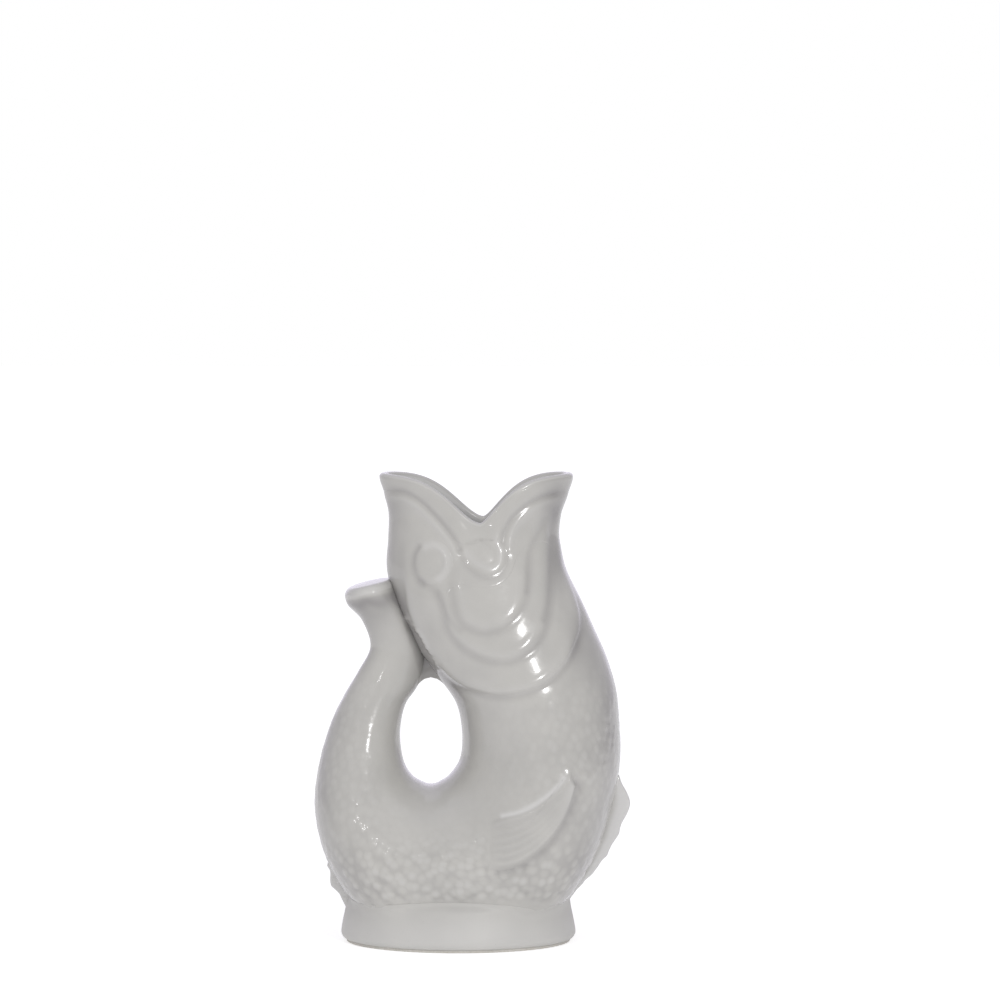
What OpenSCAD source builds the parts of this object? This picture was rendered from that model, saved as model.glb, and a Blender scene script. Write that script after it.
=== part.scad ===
// Fish-shaped gurgle jug in glazed earthenware.
// The tail fin joins the back of the head and leaves the finger hole of the handle.
// Frame: millimetres, +Z up, table at z = 0, +X towards the pouring lip, fish symmetric about y = 0.
// Places are measured from the foot's axis, and the finished jug is moved so that its middle is at x = 0.

/* [Overall] */
// Height from the table to the tips of the jaws
jug_height = 240; // [225:1:255]
// Length along X from the tail to the front of the body
jug_length = 162; // [152:1:172]
// Depth across the two flanks
jug_depth = 101; // [95:1:108]
// Wall thickness of the cast clay
wall = 4.5; // [3.5:0.1:5.5]

/* [Mouth] */
// Depth of the notch between the jaws at the corners of the mouth
mouth_dip = 24.5; // [20:0.5:28]
// Height of the rounded crown on the rim
rim_crown = 1.6; // [1:0.1:2.2]
// Thickness of the rolled lips on the outside of the jaws
lip_swell = 1.5; // [1:0.1:2]

/* [Foot] */
// Length of the foot along X at its widest
foot_length = 120; // [118:1:124]
// Depth of the foot along Y at its widest
foot_depth = 109; // [107:1:112]
// Height of the foot
foot_height = 18.5; // [17:0.5:20]
// How far the foot narrows on each side towards its top
foot_flare = 2.6; // [1.5:0.1:3.5]
// Height of the widest line of the foot above the table
foot_corner = 5; // [4:0.5:6]
// How far the contact ring lies inside the widest line
contact_inset = 2.8; // [2:0.1:3.5]
// Width of the flat ring that touches the table
contact_width = 9; // [8:0.5:10]
// Height of the unglazed part of the foot
bare_height = 1.5; // [1.2:0.1:2]

/* [Gill covers] */
// Length of a gill cover along X
gill_length = 66; // [63:1:69]
// Height of a gill cover
gill_height = 80; // [76:1:84]
// Rise of each of the nested gill plates
gill_step = 0.9; // [0.6:0.1:1.2]

/* [Eyes] */
// Diameter of the raised ring round an eye
eye_diameter = 20; // [18:0.5:22]
// Width of the raised ring
eye_ring_width = 3; // [2.5:0.1:3.5]
// Rise of the eyeball over the cheek
eye_rise = 1.2; // [0.9:0.1:1.5]
// Extra rise of the ring over the eyeball
eye_ring_rise = 0.8; // [0.5:0.1:1.1]

/* [Jaw lobes] */
// Length of the lobe under the corner of the mouth
lobe_length = 22; // [20:0.5:24]
// Height of the lobe
lobe_height = 22; // [20:0.5:24]
// Rise of the lobe's rim
lobe_rise = 1.4; // [1:0.1:1.8]
// Extra rise of the lobe's centre
lobe_centre_rise = 0.9; // [0.6:0.1:1.2]

/* [Fins] */
// Length of a pectoral fin along X
pectoral_length = 46; // [43:1:49]
// Height of a pectoral fin
pectoral_height = 49.5; // [47:0.5:52]
// Thickness of a pectoral fin
pectoral_rise = 1.8; // [1.4:0.1:2.2]
// Width of each raised ray on the pectoral fins
ray_width = 1.6; // [1.2:0.1:2]
// Extra rise of the rays
ray_rise = 0.8; // [0.5:0.1:1.1]
// Rise of the belly fin over the belly
belly_fin_rise = 9; // [8:0.5:10]
// Rise of the anal fin over the body
anal_fin_rise = 5; // [4:0.5:6]
// Thickness of the fins on the fish's midline
midline_fin_thickness = 6; // [5:0.5:7]
// Depth of the scallops along the fin edges
fin_scallop = 0.6; // [0.4:0.1:0.8]

/* [Tail] */
// Depth of the tail fin across Y at its flared end
fluke_depth = 46; // [42:1:50]
// Bulge of the tail fin's end face
fluke_bulge = 2; // [1.5:0.1:2.5]
// Width of the bead of slip that joins the tail to the head
seam_width = 7; // [6:0.5:8]
// Depth of that bead across Y
seam_depth = 27; // [25:1:29]

/* [Hidden] */
// Facets round a section, and rings for each station of the tables below
columns = 28;
rings_per_station = 2;
// Facets of the exact round sprigs
$fn = 48;
// Distance from the foot's axis to the middle of the whole jug, as a share of its length
middle_share = 0.043;

// Gap between neighbouring sprigs
sprig_clearance = 0.3;

// Places along X as shares of the jug's length and along Z as shares of its height.
// Each row is one section through the fish, which fans round the finger hole from mouth to tail:
// back x, back z, belly x, belly z, half depth as a share of the jug's, widest place from the back,
// squareness of the back half, squareness of the belly half, and the share of the mouth's dip.
station_shares = [
    [-0.246, 0.993, 0.360, 0.994, 0.554, 0.53, 2.1, 2.1, 1.00],
    [-0.232, 0.952, 0.346, 0.954, 0.564, 0.53, 2.1, 2.1, 0.70],
    [-0.219, 0.912, 0.325, 0.912, 0.584, 0.53, 2.1, 2.1, 0.45],
    [-0.221, 0.858, 0.319, 0.858, 0.624, 0.52, 2.1, 2.1, 0.20],
    [-0.225, 0.798, 0.340, 0.796, 0.683, 0.51, 2.1, 2.1, 0.00],
    [-0.203, 0.733, 0.389, 0.729, 0.752, 0.50, 2.1, 2.1, 0.00],
    [-0.157, 0.669, 0.432, 0.662, 0.812, 0.50, 2.1, 2.1, 0.00],
    [-0.114, 0.613, 0.469, 0.604, 0.861, 0.50, 2.1, 2.1, 0.00],
    [-0.065, 0.560, 0.498, 0.537, 0.901, 0.51, 2.1, 2.1, 0.00],
    [-0.011, 0.508, 0.508, 0.467, 0.931, 0.52, 2.1, 2.1, 0.00],
    [ 0.012, 0.446, 0.510, 0.383, 0.960, 0.54, 2.1, 2.2, 0.00],
    [ 0.005, 0.392, 0.488, 0.296, 0.990, 0.57, 2.1, 2.3, 0.00],
    [-0.026, 0.356, 0.429, 0.179, 1.000, 0.60, 2.1, 2.6, 0.00],
    [-0.059, 0.340, 0.309, 0.067, 0.990, 0.60, 2.1, 3.0, 0.00],
    [-0.075, 0.335, 0.154, 0.033, 0.980, 0.58, 2.1, 3.5, 0.00],
    [-0.088, 0.334, -0.012, 0.029, 0.970, 0.58, 2.1, 3.5, 0.00],
    [-0.101, 0.335, -0.173, 0.033, 0.950, 0.58, 2.1, 3.5, 0.00],
    [-0.120, 0.341, -0.306, 0.071, 0.911, 0.60, 2.1, 3.0, 0.00],
    [-0.145, 0.352, -0.411, 0.173, 0.792, 0.60, 2.1, 2.5, 0.00],
    [-0.169, 0.377, -0.453, 0.279, 0.663, 0.56, 2.1, 2.2, 0.00],
    [-0.182, 0.417, -0.440, 0.375, 0.535, 0.52, 2.1, 2.1, 0.00],
    [-0.182, 0.458, -0.406, 0.458, 0.436, 0.50, 2.1, 2.1, 0.00],
    [-0.165, 0.506, -0.360, 0.525, 0.356, 0.50, 2.1, 2.1, 0.00],
    [-0.124, 0.552, -0.315, 0.577, 0.297, 0.50, 2.1, 2.1, 0.00],
    [-0.102, 0.625, -0.277, 0.629, 0.257, 0.50, 2.1, 2.1, 0.00],
];

// First and last station of the pieces, and of the parts of the body that trim or carry them
shell_stations = [0, 19.5];
tail_stations = [19.5, 24];
tail_hollow_stations = [19.5, 23];
head_stations = [3, 9];
flank_trim_stations = [0.5, 15.5];
base_stations = [12, 18];
fin_trim_stations = [9, 19.5];

// Sections of the tail fin: back x, back z, belly x, belly z, and the half depth as a share of the
// fin's own depth, which runs from the tail's neck to the flared end.
fluke_shares = [
    [-0.102, 0.625, -0.277, 0.629, 0.56],
    [-0.130, 0.680, -0.304, 0.685, 0.63],
    [-0.168, 0.733, -0.350, 0.718, 0.82],
    [-0.210, 0.775, -0.358, 0.742, 1.00],
];
fluke_widest_share = 0.5;
// Squareness of an oval section, where 2 is an ellipse
oval_squareness = 2.1;
// How far the tail fin's end face is set in before it bulges, as a share of the fin's depth
fluke_end_inset_share = 0.125;

// Corner of the mouth from the back, as a share of the rim's length,
// with the reach and the squareness of the dip towards each jaw.
mouth_corner_share = 0.53;
dip_reach_shares = [0.40, 0.34];
dip_squareness = [1.7, 1.4];

// Middles of the sprigs on the flanks, as shares of the jug's length and height
gill_middle_shares = [0.150, 0.744];
eye_middle_shares = [-0.088, 0.820];
lobe_middle_shares = [0.070, 0.829];
pectoral_corner_shares = [0.095, 0.177];
// Nested gill plates: shift in x, shift in z, length and height as shares of the gill cover
gill_plate_shares = [
    [0.00, 0.00, 1.00, 1.00],
    [-0.06, 0.07, 0.73, 0.74],
    [-0.13, 0.16, 0.52, 0.56],
];
// The broad end of an egg outline, as a share of its height from the top
egg_middle_share = 0.39;
// Centre of a jaw lobe as a share of the lobe
lobe_centre_share = 0.5;

// Lower and upper edge of a pectoral fin, from its free end to its root, as shares of its size
pectoral_lower_shares = [
    [0.00, 0.01], [0.19, 0.00], [0.36, 0.05], [0.52, 0.15], [0.63, 0.25],
    [0.78, 0.41], [0.88, 0.56], [0.94, 0.72], [1.00, 0.88],
];
pectoral_upper_shares = [
    [0.00, 0.52], [0.12, 0.55], [0.24, 0.57], [0.36, 0.59], [0.52, 0.70],
    [0.63, 0.79], [0.73, 0.85], [0.81, 0.91], [0.89, 1.00],
];
ray_places_shares = [0.10, 0.30, 0.52, 0.76];

// First and last station of the fins on the midline, with the share of their length at the peak
belly_fin_stations = [10.5, 13.0];
belly_fin_peak_share = 0.22;
anal_fin_stations = [16.95, 17.95];
anal_fin_peak_share = 0.45;
// How deep the fins are rooted, and how much they taper to their lower end, as shares of their rise
fin_root_share = 0.6;
fin_taper_share = 0.95;
fin_steps = 26;
belly_scallops = 6;
anal_scallops = 4;
// Half the stretch, in stations, over which the outline's direction is taken
normal_stretch = 0.1;
// How far the foot's lower corner is drawn in, as a share of the contact ring's inset
corner_draw_share = 0.25;

// Line of the seam from the top of the finger hole to the fluke, as shares of length and height
seam_shares = [
    [-0.086, 0.567], [-0.106, 0.600], [-0.133, 0.645], [-0.160, 0.683], [-0.186, 0.722], [-0.205, 0.752],
];

// Rows and columns of a lip
lip_steps = 6;
lip_columns = columns / 2;
// Stations from the rim to a lip's lower edge at the jaw tips, and what the corner adds to them
lip_tip_reach = 1.1;
lip_corner_reach = 0.8;
// Angles at the first and last row of a lip, whose sines give its roll from the rim to its edge
lip_roll_angles = [30, 165];

// Stations between which the flank carries sprigs, from just below the lips to the foot
lip_gap_stations = 0.1;
flank_stations = [lip_tip_reach + lip_corner_reach + lip_gap_stations, 15];

glaze = [0.76, 0.755, 0.73];
bare_clay = [0.86, 0.84, 0.79];

// Catmull-Rom value between the rows of a table
function spline(a, b, c, d, t) =
    b + 0.5 * t * (c - a + t * (2 * a - 5 * b + 4 * c - d + t * (3 * (b - c) + d - a)));
function table_row(table, u) =
    let (last = len(table) - 1, i = min(max(floor(u), 0), last - 1))
    spline(table[max(i - 1, 0)], table[i], table[i + 1], table[min(i + 2, last)], u - i);

// Points on the midline: the back and the belly of the fish at station u
function midline(row, k) = [row[k] * jug_length, 0, row[k + 1] * jug_height];
function belly_point(u) = midline(table_row(station_shares, u), 2);

// How much of the dip acts at a place s along the rim, 1 at the corner and near 0 at the jaw tips
function dip_part(s) =
    let (
        back = s < mouth_corner_share,
        side = back ? 0 : 1,
        away = back ? 1 - s / mouth_corner_share : (s - mouth_corner_share) / (1 - mouth_corner_share)
    )
    exp(-pow(max(away, 0) / dip_reach_shares[side], dip_squareness[side]));

// One point of a section: v = 0 at the belly, 180 at the back, and grow offsets the skin outwards
function section_point(row, half, widest, n_back, n_belly, dip, v, grow) =
    let (
        back = midline(row, 0),
        span = norm(midline(row, 2) - back),
        along = (midline(row, 2) - back) / span,
        power = 2 / (cos(v) < 0 ? n_back : n_belly),
        reach = cos(v) < 0 ? -(widest * span + grow) : (1 - widest) * span + grow,
        place = widest * span + reach * pow(abs(cos(v)), power),
        side = sign(sin(v)) * (half + grow) * pow(abs(sin(v)), power)
    )
    back + along * place + [0, side, -dip * mouth_dip * dip_part(place / span)];
function skin_point(u, v, grow) =
    let (row = table_row(station_shares, u))
    section_point(row, row[4] * jug_depth / 2, row[5], row[6], row[7], max(row[8], 0), v, grow);
function fluke_point(u, v, grow) =
    let (row = table_row(fluke_shares, u))
    section_point(row, row[4] * fluke_depth / 2, fluke_widest_share, oval_squareness, oval_squareness, 0, v, grow);

function turn(j) = 360 * j / columns;
function skin_ring(u, grow) = [for (j = [0 : columns - 1]) skin_point(u, turn(j), grow)];
function flank_ring(u, grow) = [for (j = [0 : columns / 2]) skin_point(u, 180 + turn(j), grow)];
function steps(ends) =
    let (n = round((ends[1] - ends[0]) * rings_per_station))
    [for (i = [0 : n]) ends[0] + (ends[1] - ends[0]) * i / n];
function outer_rings(ends, grow) = [for (u = steps(ends)) skin_ring(u, grow)];
function flat(rows) = [for (row = rows) each row];
function reversed(list) = [for (i = [len(list) - 1 : -1 : 0]) list[i]];

// Triangles of a grid of points whose rows close on themselves
function band_faces(rows, cols, wrap) =
    [for (i = [0 : rows - (wrap ? 1 : 2)], j = [0 : cols - 1])
        let (
            a = i * cols + j,
            b = i * cols + (j + 1) % cols,
            c = (i + 1) % rows * cols + (j + 1) % cols,
            d = (i + 1) % rows * cols + j
        )
        each [[a, b, c], [a, c, d]]];
// Triangles of a cap over one row, laid straight across from side to side
function cap_faces(first, cols) =
    [for (j = [1 : floor((cols - 1) / 2)])
        each [
            [first + j, first + j - 1, first + (cols - j + 1) % cols],
            [first + j, first + (cols - j + 1) % cols, first + cols - j],
        ]];
function flipped(faces) = [for (f = faces) reversed(f)];
function closed_faces(rows, cols) =
    concat(
        band_faces(rows, cols, false),
        cap_faces(0, cols),
        flipped(cap_faces((rows - 1) * cols, cols)),
        cols % 2 == 0 ? [
            [cols / 2, cols / 2 - 1, cols / 2 + 1],
            [(rows - 1) * cols + cols / 2, (rows - 1) * cols + cols / 2 + 1, (rows - 1) * cols + cols / 2 - 1],
        ] : []
    );

// A solid from rings of points, closed with caps, or closed on itself as a ring-shaped wall
module capped_loft(rings) {
    polyhedron(flat(rings), closed_faces(len(rings), len(rings[0])));
}
module wall_loft(rings) {
    polyhedron(flat(rings), band_faces(len(rings), len(rings[0]), true));
}

// Filled copies of the fish between two stations, whole or only the flank on the -Y side
module filled_body(ends) {
    capped_loft(outer_rings(ends, 0));
}
module filled_flank(ends, grow) {
    capped_loft([for (u = steps(ends)) flank_ring(u, grow)]);
}

// The cast wall of the head and body, open at the mouth and at the root of the tail
module fish_shell() {
    outside = outer_rings(shell_stations, 0);
    inside = outer_rings(shell_stations, -wall);
    crown = [for (p = skin_ring(0, -wall / 2)) p + [0, 0, rim_crown]];
    color(glaze) wall_loft(concat(outside, reversed(inside), [crown]));
}

// The hollow tail that closes the handle; its hollow opens into the body
module tail_handle() {
    color(glaze) difference() {
        filled_body(tail_stations);
        capped_loft(outer_rings(tail_hollow_stations, -wall));
        filled_body(head_stations);
    }
}

module fluke_body() {
    last = len(fluke_shares) - 1;
    rings = [for (u = steps([0, last])) [for (j = [0 : columns - 1]) fluke_point(u, turn(j), 0)]];
    inset = fluke_depth * fluke_end_inset_share;
    crown = [for (j = [0 : columns - 1]) fluke_point(last, turn(j), -inset) + [0, 0, fluke_bulge]];
    capped_loft(concat(rings, [crown]));
}

// The flared tail fin that rests on the back of the head
module tail_fluke() {
    color(glaze) difference() {
        fluke_body();
        filled_body(head_stations);
    }
}

// The bead of slip in the groove between tail and head
module slip_seam() {
    line = [for (p = seam_shares) [p[0] * jug_length, p[1] * jug_height]];
    half = [seam_width / 2, 0];
    outline = concat([for (p = line) p - half], reversed([for (p = line) p + half]));
    color(glaze) difference() {
        rotate([90, 0, 0]) linear_extrude(seam_depth, center = true) polygon(outline);
        filled_body(head_stations);
        filled_body(tail_stations);
        fluke_body();
    }
}

function oval(inset, z) =
    [for (j = [0 : columns * 2 - 1])
        let (a = 180 * j / columns)
        [(foot_length / 2 - inset) * cos(a), (foot_depth / 2 - inset) * sin(a), z]];
function flat_oval(inset) = [for (p = oval(inset, 0)) [p[0], p[1]]];

// The glazed foot that the body is set in
module foot_plinth() {
    inner = contact_inset + contact_width;
    shoulder = foot_flare / 2;
    color(glaze) difference() {
        wall_loft([
            oval(inner, foot_height),
            oval(foot_flare + shoulder, foot_height),
            oval(foot_flare, foot_height - shoulder),
            oval(0, foot_corner),
            oval(contact_inset * corner_draw_share, foot_corner / 2),
            oval(contact_inset, bare_height),
            oval(inner, bare_height),
        ]);
        filled_body(base_stations);
    }
}

// The bare clay ring that touches the table
module foot_rim() {
    color(bare_clay) linear_extrude(bare_height) difference() {
        polygon(flat_oval(contact_inset));
        polygon(flat_oval(contact_inset + contact_width));
    }
}

// The stations down a lip at the angle v round the mouth, and the rolled section across it
function rim_place(v) = 0.5 + 0.5 * sign(cos(v)) * pow(abs(cos(v)), 2 / oval_squareness);
function lip_row(v) =
    let (reach = lip_tip_reach + lip_corner_reach * dip_part(rim_place(v)))
    [for (k = [0 : lip_steps]) reach * k / lip_steps];
function lip_roll(t) = sin(lip_roll_angles[0] * (1 - t) + lip_roll_angles[1] * t);

// A lip between two angles round the mouth
module lip(from, to) {
    rings = [for (i = [0 : lip_columns])
        let (v = to - (to - from) * i / lip_columns, us = lip_row(v))
        concat(
            [for (k = [0 : lip_steps]) skin_point(us[k], v, lip_swell * lip_roll(k / lip_steps))],
            [for (k = [lip_steps : -1 : 0]) skin_point(us[k], v, 0)]
        )];
    color(glaze) capped_loft(rings);
}

// A sprig on the -Y flank: a flat outline in the XZ plane, raised over the skin
module raised(rise) {
    intersection() {
        rotate([90, 0, 0]) linear_extrude(jug_depth) children();
        filled_flank(flank_stations, rise);
    }
}
module on_flank() {
    color(glaze) difference() {
        union() children();
        filled_flank(flank_trim_stations, 0);
    }
}

// An egg outline with its broad part near its top
module egg(middle, length, height) {
    polygon([for (j = [0 : columns - 1])
        let (a = turn(j), share = sin(a) > 0 ? egg_middle_share : 1 - egg_middle_share)
        middle + [length / 2 * cos(a), height * share * sin(a)]]);
}
function place(shares) = [shares[0] * jug_length, shares[1] * jug_height];

module lobe_outline(clearance) {
    middle = place(lobe_middle_shares);
    egg(middle, lobe_length + 2 * clearance, lobe_height + 2 * clearance);
}
module eye_outline(clearance) {
    translate(place(eye_middle_shares)) circle(d = eye_diameter + 2 * clearance);
}

module gill_plate(shares) {
    middle = place(gill_middle_shares) + [shares[0] * gill_length, shares[1] * gill_height];
    difference() {
        egg(middle, shares[2] * gill_length, shares[3] * gill_height);
        lobe_outline(sprig_clearance);
        eye_outline(sprig_clearance);
    }
}
module gill_cover() {
    on_flank() {
        for (i = [0 : len(gill_plate_shares) - 1]) {
            raised(gill_step * (i + 1)) gill_plate(gill_plate_shares[i]);
        }
    }
}

module eye() {
    on_flank() {
        raised(eye_rise) eye_outline(0);
        raised(eye_rise + eye_ring_rise) difference() {
            eye_outline(0);
            eye_outline(-eye_ring_width);
        }
    }
}

module jaw_lobe() {
    middle = place(lobe_middle_shares);
    on_flank() {
        raised(lobe_rise) lobe_outline(0);
        raised(lobe_rise + lobe_centre_rise)
            egg(middle, lobe_length * lobe_centre_share, lobe_height * lobe_centre_share);
    }
}

// A line along the pectoral fin, at a share of the way from its lower to its upper edge
function fin_line(share) =
    [for (i = [0 : len(pectoral_lower_shares) - 1])
        let (p = pectoral_lower_shares[i] * (1 - share) + pectoral_upper_shares[i] * share)
        place(pectoral_corner_shares) + [p[0] * pectoral_length, p[1] * pectoral_height]];

module pectoral_fin() {
    half = [0, ray_width / 2];
    on_flank() {
        raised(pectoral_rise) polygon(concat(fin_line(0), reversed(fin_line(1))));
        raised(pectoral_rise + ray_rise) for (share = ray_places_shares) {
            line = fin_line(share);
            polygon(concat([for (p = line) p - half], reversed([for (p = line) p + half])));
        }
    }
}

// A fin on the midline that follows the outline of the body between two stations
function outline_normal(u) =
    let (d = belly_point(u + normal_stretch) - belly_point(u - normal_stretch))
    [d[2], 0, -d[0]] / norm(d);
function fin_profile(t, peak) = t < peak ? sin(90 * t / peak) : 1 - fin_taper_share * (t - peak) / (1 - peak);
module midline_fin(stations, rise, peak, scallops) {
    edge = [for (i = [0 : fin_steps])
        let (
            t = i / fin_steps,
            u = stations[0] + (stations[1] - stations[0]) * t,
            wave = fin_scallop * abs(sin(180 * scallops * t)),
            p = belly_point(u) - outline_normal(u) * (rise * fin_profile(t, peak) + wave)
        )
        [p[0], p[2]]];
    root = [for (i = [0 : fin_steps])
        let (
            u = stations[0] + (stations[1] - stations[0]) * i / fin_steps,
            p = belly_point(u) + outline_normal(u) * rise * fin_root_share
        )
        [p[0], p[2]]];
    color(glaze) difference() {
        rotate([90, 0, 0]) linear_extrude(midline_fin_thickness, center = true) polygon(concat(edge, reversed(root)));
        filled_body(fin_trim_stations);
        foot_block();
    }
}

// The space that the foot takes
module foot_block() {
    capped_loft([oval(foot_flare, foot_height), oval(0, foot_corner), oval(0, 0)]);
}

module belly_fin() {
    midline_fin(belly_fin_stations, belly_fin_rise, belly_fin_peak_share, belly_scallops);
}
module anal_fin() {
    midline_fin(anal_fin_stations, anal_fin_rise, anal_fin_peak_share, anal_scallops);
}

// Moves a finished piece from the foot's axis to the jug's own frame
module placed() {
    translate([-middle_share * jug_length, 0, 0]) children();
}
module placed_left() {
    placed() mirror([0, 1, 0]) children();
}

placed() fish_shell();
placed() tail_handle();
placed() tail_fluke();
placed() slip_seam();
placed() foot_plinth();
placed() foot_rim();
placed() lip(90, 270);  // upper_lip
placed() lip(-90, 90);  // lower_lip
placed() jaw_lobe();  // jaw_lobe_right
placed_left() jaw_lobe();  // jaw_lobe_left
placed() eye();  // eye_right
placed_left() eye();  // eye_left
placed() gill_cover();  // gill_cover_right
placed_left() gill_cover();  // gill_cover_left
placed() pectoral_fin();  // pectoral_fin_right
placed_left() pectoral_fin();  // pectoral_fin_left
placed() belly_fin();
placed() anal_fin();
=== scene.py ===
"""Fish-shaped gurgle jug in pale grey glazed pottery, standing on a white studio floor.

Lengths are millimetres from the foot's axis until a mesh is made, which moves them to the frame in metres.
The skin of the fish is a table of sections that fans round the finger hole from the mouth to the tail fin.
The carving is drawn as named lines in photograph pixels and projected on both flanks: its heights are in
millimetres and its widths in pixels.
"""
import math

import bmesh
import bpy
import numpy as np
from mathutils import Matrix, Vector
from mathutils.kdtree import KDTree


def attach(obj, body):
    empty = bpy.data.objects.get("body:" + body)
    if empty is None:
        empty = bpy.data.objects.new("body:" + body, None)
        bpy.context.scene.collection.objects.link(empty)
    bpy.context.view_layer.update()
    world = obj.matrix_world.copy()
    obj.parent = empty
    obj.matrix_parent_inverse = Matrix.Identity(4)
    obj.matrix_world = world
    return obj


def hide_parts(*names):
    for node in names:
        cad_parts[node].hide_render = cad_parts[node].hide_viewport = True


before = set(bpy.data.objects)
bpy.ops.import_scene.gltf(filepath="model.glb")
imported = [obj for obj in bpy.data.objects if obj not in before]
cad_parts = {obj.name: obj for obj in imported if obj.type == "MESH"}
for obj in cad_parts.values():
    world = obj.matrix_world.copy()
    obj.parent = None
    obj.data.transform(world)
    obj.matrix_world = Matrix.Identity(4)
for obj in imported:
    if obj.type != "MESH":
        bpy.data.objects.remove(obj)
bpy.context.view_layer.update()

MM = 0.001

# Camera of the photograph, placed in metres and turned in radians
IMAGE_SIDE = 1000
SENSOR_WIDTH = 36.0
FOCAL_PIXELS = 6682.7
CAMERA_PLACE = (0.01438, -3.4, 0.460)
CAMERA_PITCH = 0.06877
CAMERA_TURN = 0.030

# Sizes of the jug
JUG_HEIGHT = 240.0
JUG_LENGTH = 162.0
JUG_DEPTH = 101.0
FOOT_TO_MIDDLE = 0.043 * JUG_LENGTH
WALL = 4.5
RIM_CROWN = 1.9

# Sections: back x, back z, belly x, belly z, half depth, widest place, squareness of the back and
# belly halves, share of the mouth's dip. The last three rows flare into the tail fin.
STATIONS = np.array([
    [-0.246, 0.993, 0.360, 0.994, 0.554, 0.53, 2.1, 2.1, 1.00],
    [-0.232, 0.952, 0.346, 0.954, 0.564, 0.53, 2.1, 2.1, 0.70],
    [-0.219, 0.912, 0.325, 0.912, 0.584, 0.53, 2.1, 2.1, 0.45],
    [-0.221, 0.858, 0.319, 0.858, 0.624, 0.52, 2.1, 2.1, 0.20],
    [-0.225, 0.798, 0.340, 0.796, 0.683, 0.51, 2.1, 2.1, 0.00],
    [-0.203, 0.733, 0.389, 0.729, 0.752, 0.50, 2.1, 2.1, 0.00],
    [-0.157, 0.669, 0.432, 0.662, 0.812, 0.50, 2.1, 2.1, 0.00],
    [-0.114, 0.613, 0.469, 0.604, 0.861, 0.50, 2.1, 2.1, 0.00],
    [-0.056, 0.560, 0.498, 0.537, 0.901, 0.51, 2.1, 2.1, 0.00],
    [-0.006, 0.508, 0.508, 0.467, 0.931, 0.52, 2.1, 2.1, 0.00],
    [0.012, 0.446, 0.510, 0.383, 0.960, 0.54, 2.1, 2.2, 0.00],
    [0.006, 0.392, 0.488, 0.296, 0.990, 0.57, 2.1, 2.3, 0.00],
    [-0.026, 0.356, 0.429, 0.179, 1.000, 0.60, 2.1, 2.5, 0.00],
    [-0.059, 0.340, 0.309, 0.067, 0.990, 0.60, 2.1, 2.7, 0.00],
    [-0.075, 0.335, 0.154, 0.033, 0.980, 0.58, 2.1, 3.0, 0.00],
    [-0.088, 0.334, -0.012, 0.029, 0.970, 0.58, 2.1, 3.0, 0.00],
    [-0.101, 0.335, -0.173, 0.033, 0.950, 0.58, 2.1, 3.0, 0.00],
    [-0.120, 0.341, -0.306, 0.071, 0.911, 0.60, 2.1, 2.7, 0.00],
    [-0.145, 0.352, -0.411, 0.173, 0.792, 0.60, 2.1, 2.5, 0.00],
    [-0.169, 0.377, -0.453, 0.279, 0.663, 0.56, 2.1, 2.2, 0.00],
    [-0.182, 0.417, -0.440, 0.375, 0.535, 0.52, 2.1, 2.1, 0.00],
    [-0.182, 0.458, -0.406, 0.458, 0.436, 0.50, 2.1, 2.1, 0.00],
    [-0.165, 0.506, -0.360, 0.525, 0.356, 0.50, 2.1, 2.1, 0.00],
    [-0.124, 0.552, -0.315, 0.577, 0.297, 0.50, 2.1, 2.1, 0.00],
    [-0.102, 0.625, -0.277, 0.629, 0.257, 0.50, 2.1, 2.1, 0.00],
    [-0.130, 0.680, -0.304, 0.685, 0.287, 0.50, 2.1, 2.1, 0.00],
    [-0.168, 0.733, -0.350, 0.718, 0.374, 0.50, 2.1, 2.1, 0.00],
    [-0.210, 0.775, -0.358, 0.742, 0.455, 0.50, 2.1, 2.1, 0.00],
])
SHELL_END, TAIL_HOLLOW_END, TAIL_END, FLUKE_END = 19.5, 23.0, 24.0, 27.0

# Dip of the mouth on either side of its corner: back, then front
MOUTH_DIP = 24.5
MOUTH_CORNER = 0.53
DIP_REACH = (0.40, 0.34)
DIP_SQUARENESS = (1.7, 1.4)

# Foot, whose wall runs up to the body and rounds into it
FOOT_LENGTH = 120.0
FOOT_DEPTH = 109.0
FOOT_HEIGHT = 18.5
FOOT_FLARE = 2.6
FOOT_CORNER = 5.0
CONTACT_INSET = 2.8
CONTACT_WIDTH = 9.0
BARE_HEIGHT = 1.5
BARE_EDGE = 0.35
WALL_LEAN = 1.25
WALL_HEIGHTS = (9.0, 33.0)
WALL_TURN = (19.5, 0.15, 2.2)  # height where the wall turns inwards, rate and power of the turn
FILLET = 1.7
FILLET_END = 5.0
FOOT_WOBBLE = (0.10, 22.0, 11)  # height, size and seed of the noise
FOOT_STATIONS = (10.5, 19.5)
SECTORS = 120

# Mesh fineness
COLUMNS = 336
SHELL_ROWS = 400
INNER_ROWS = 70
TAIL_ROWS = 110
HOLLOW_ROWS = 24
FLUKE_ROWS = 60
RIM_ROWS = 9
SEAM_COLUMNS = 64
FOOT_COLUMNS = 288
WALL_ROWS = 26
LIP_SIZE = (40, 240)
FIN_SIZE = (170, 41)
ANGLES = np.arange(COLUMNS) * 360 / COLUMNS

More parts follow.
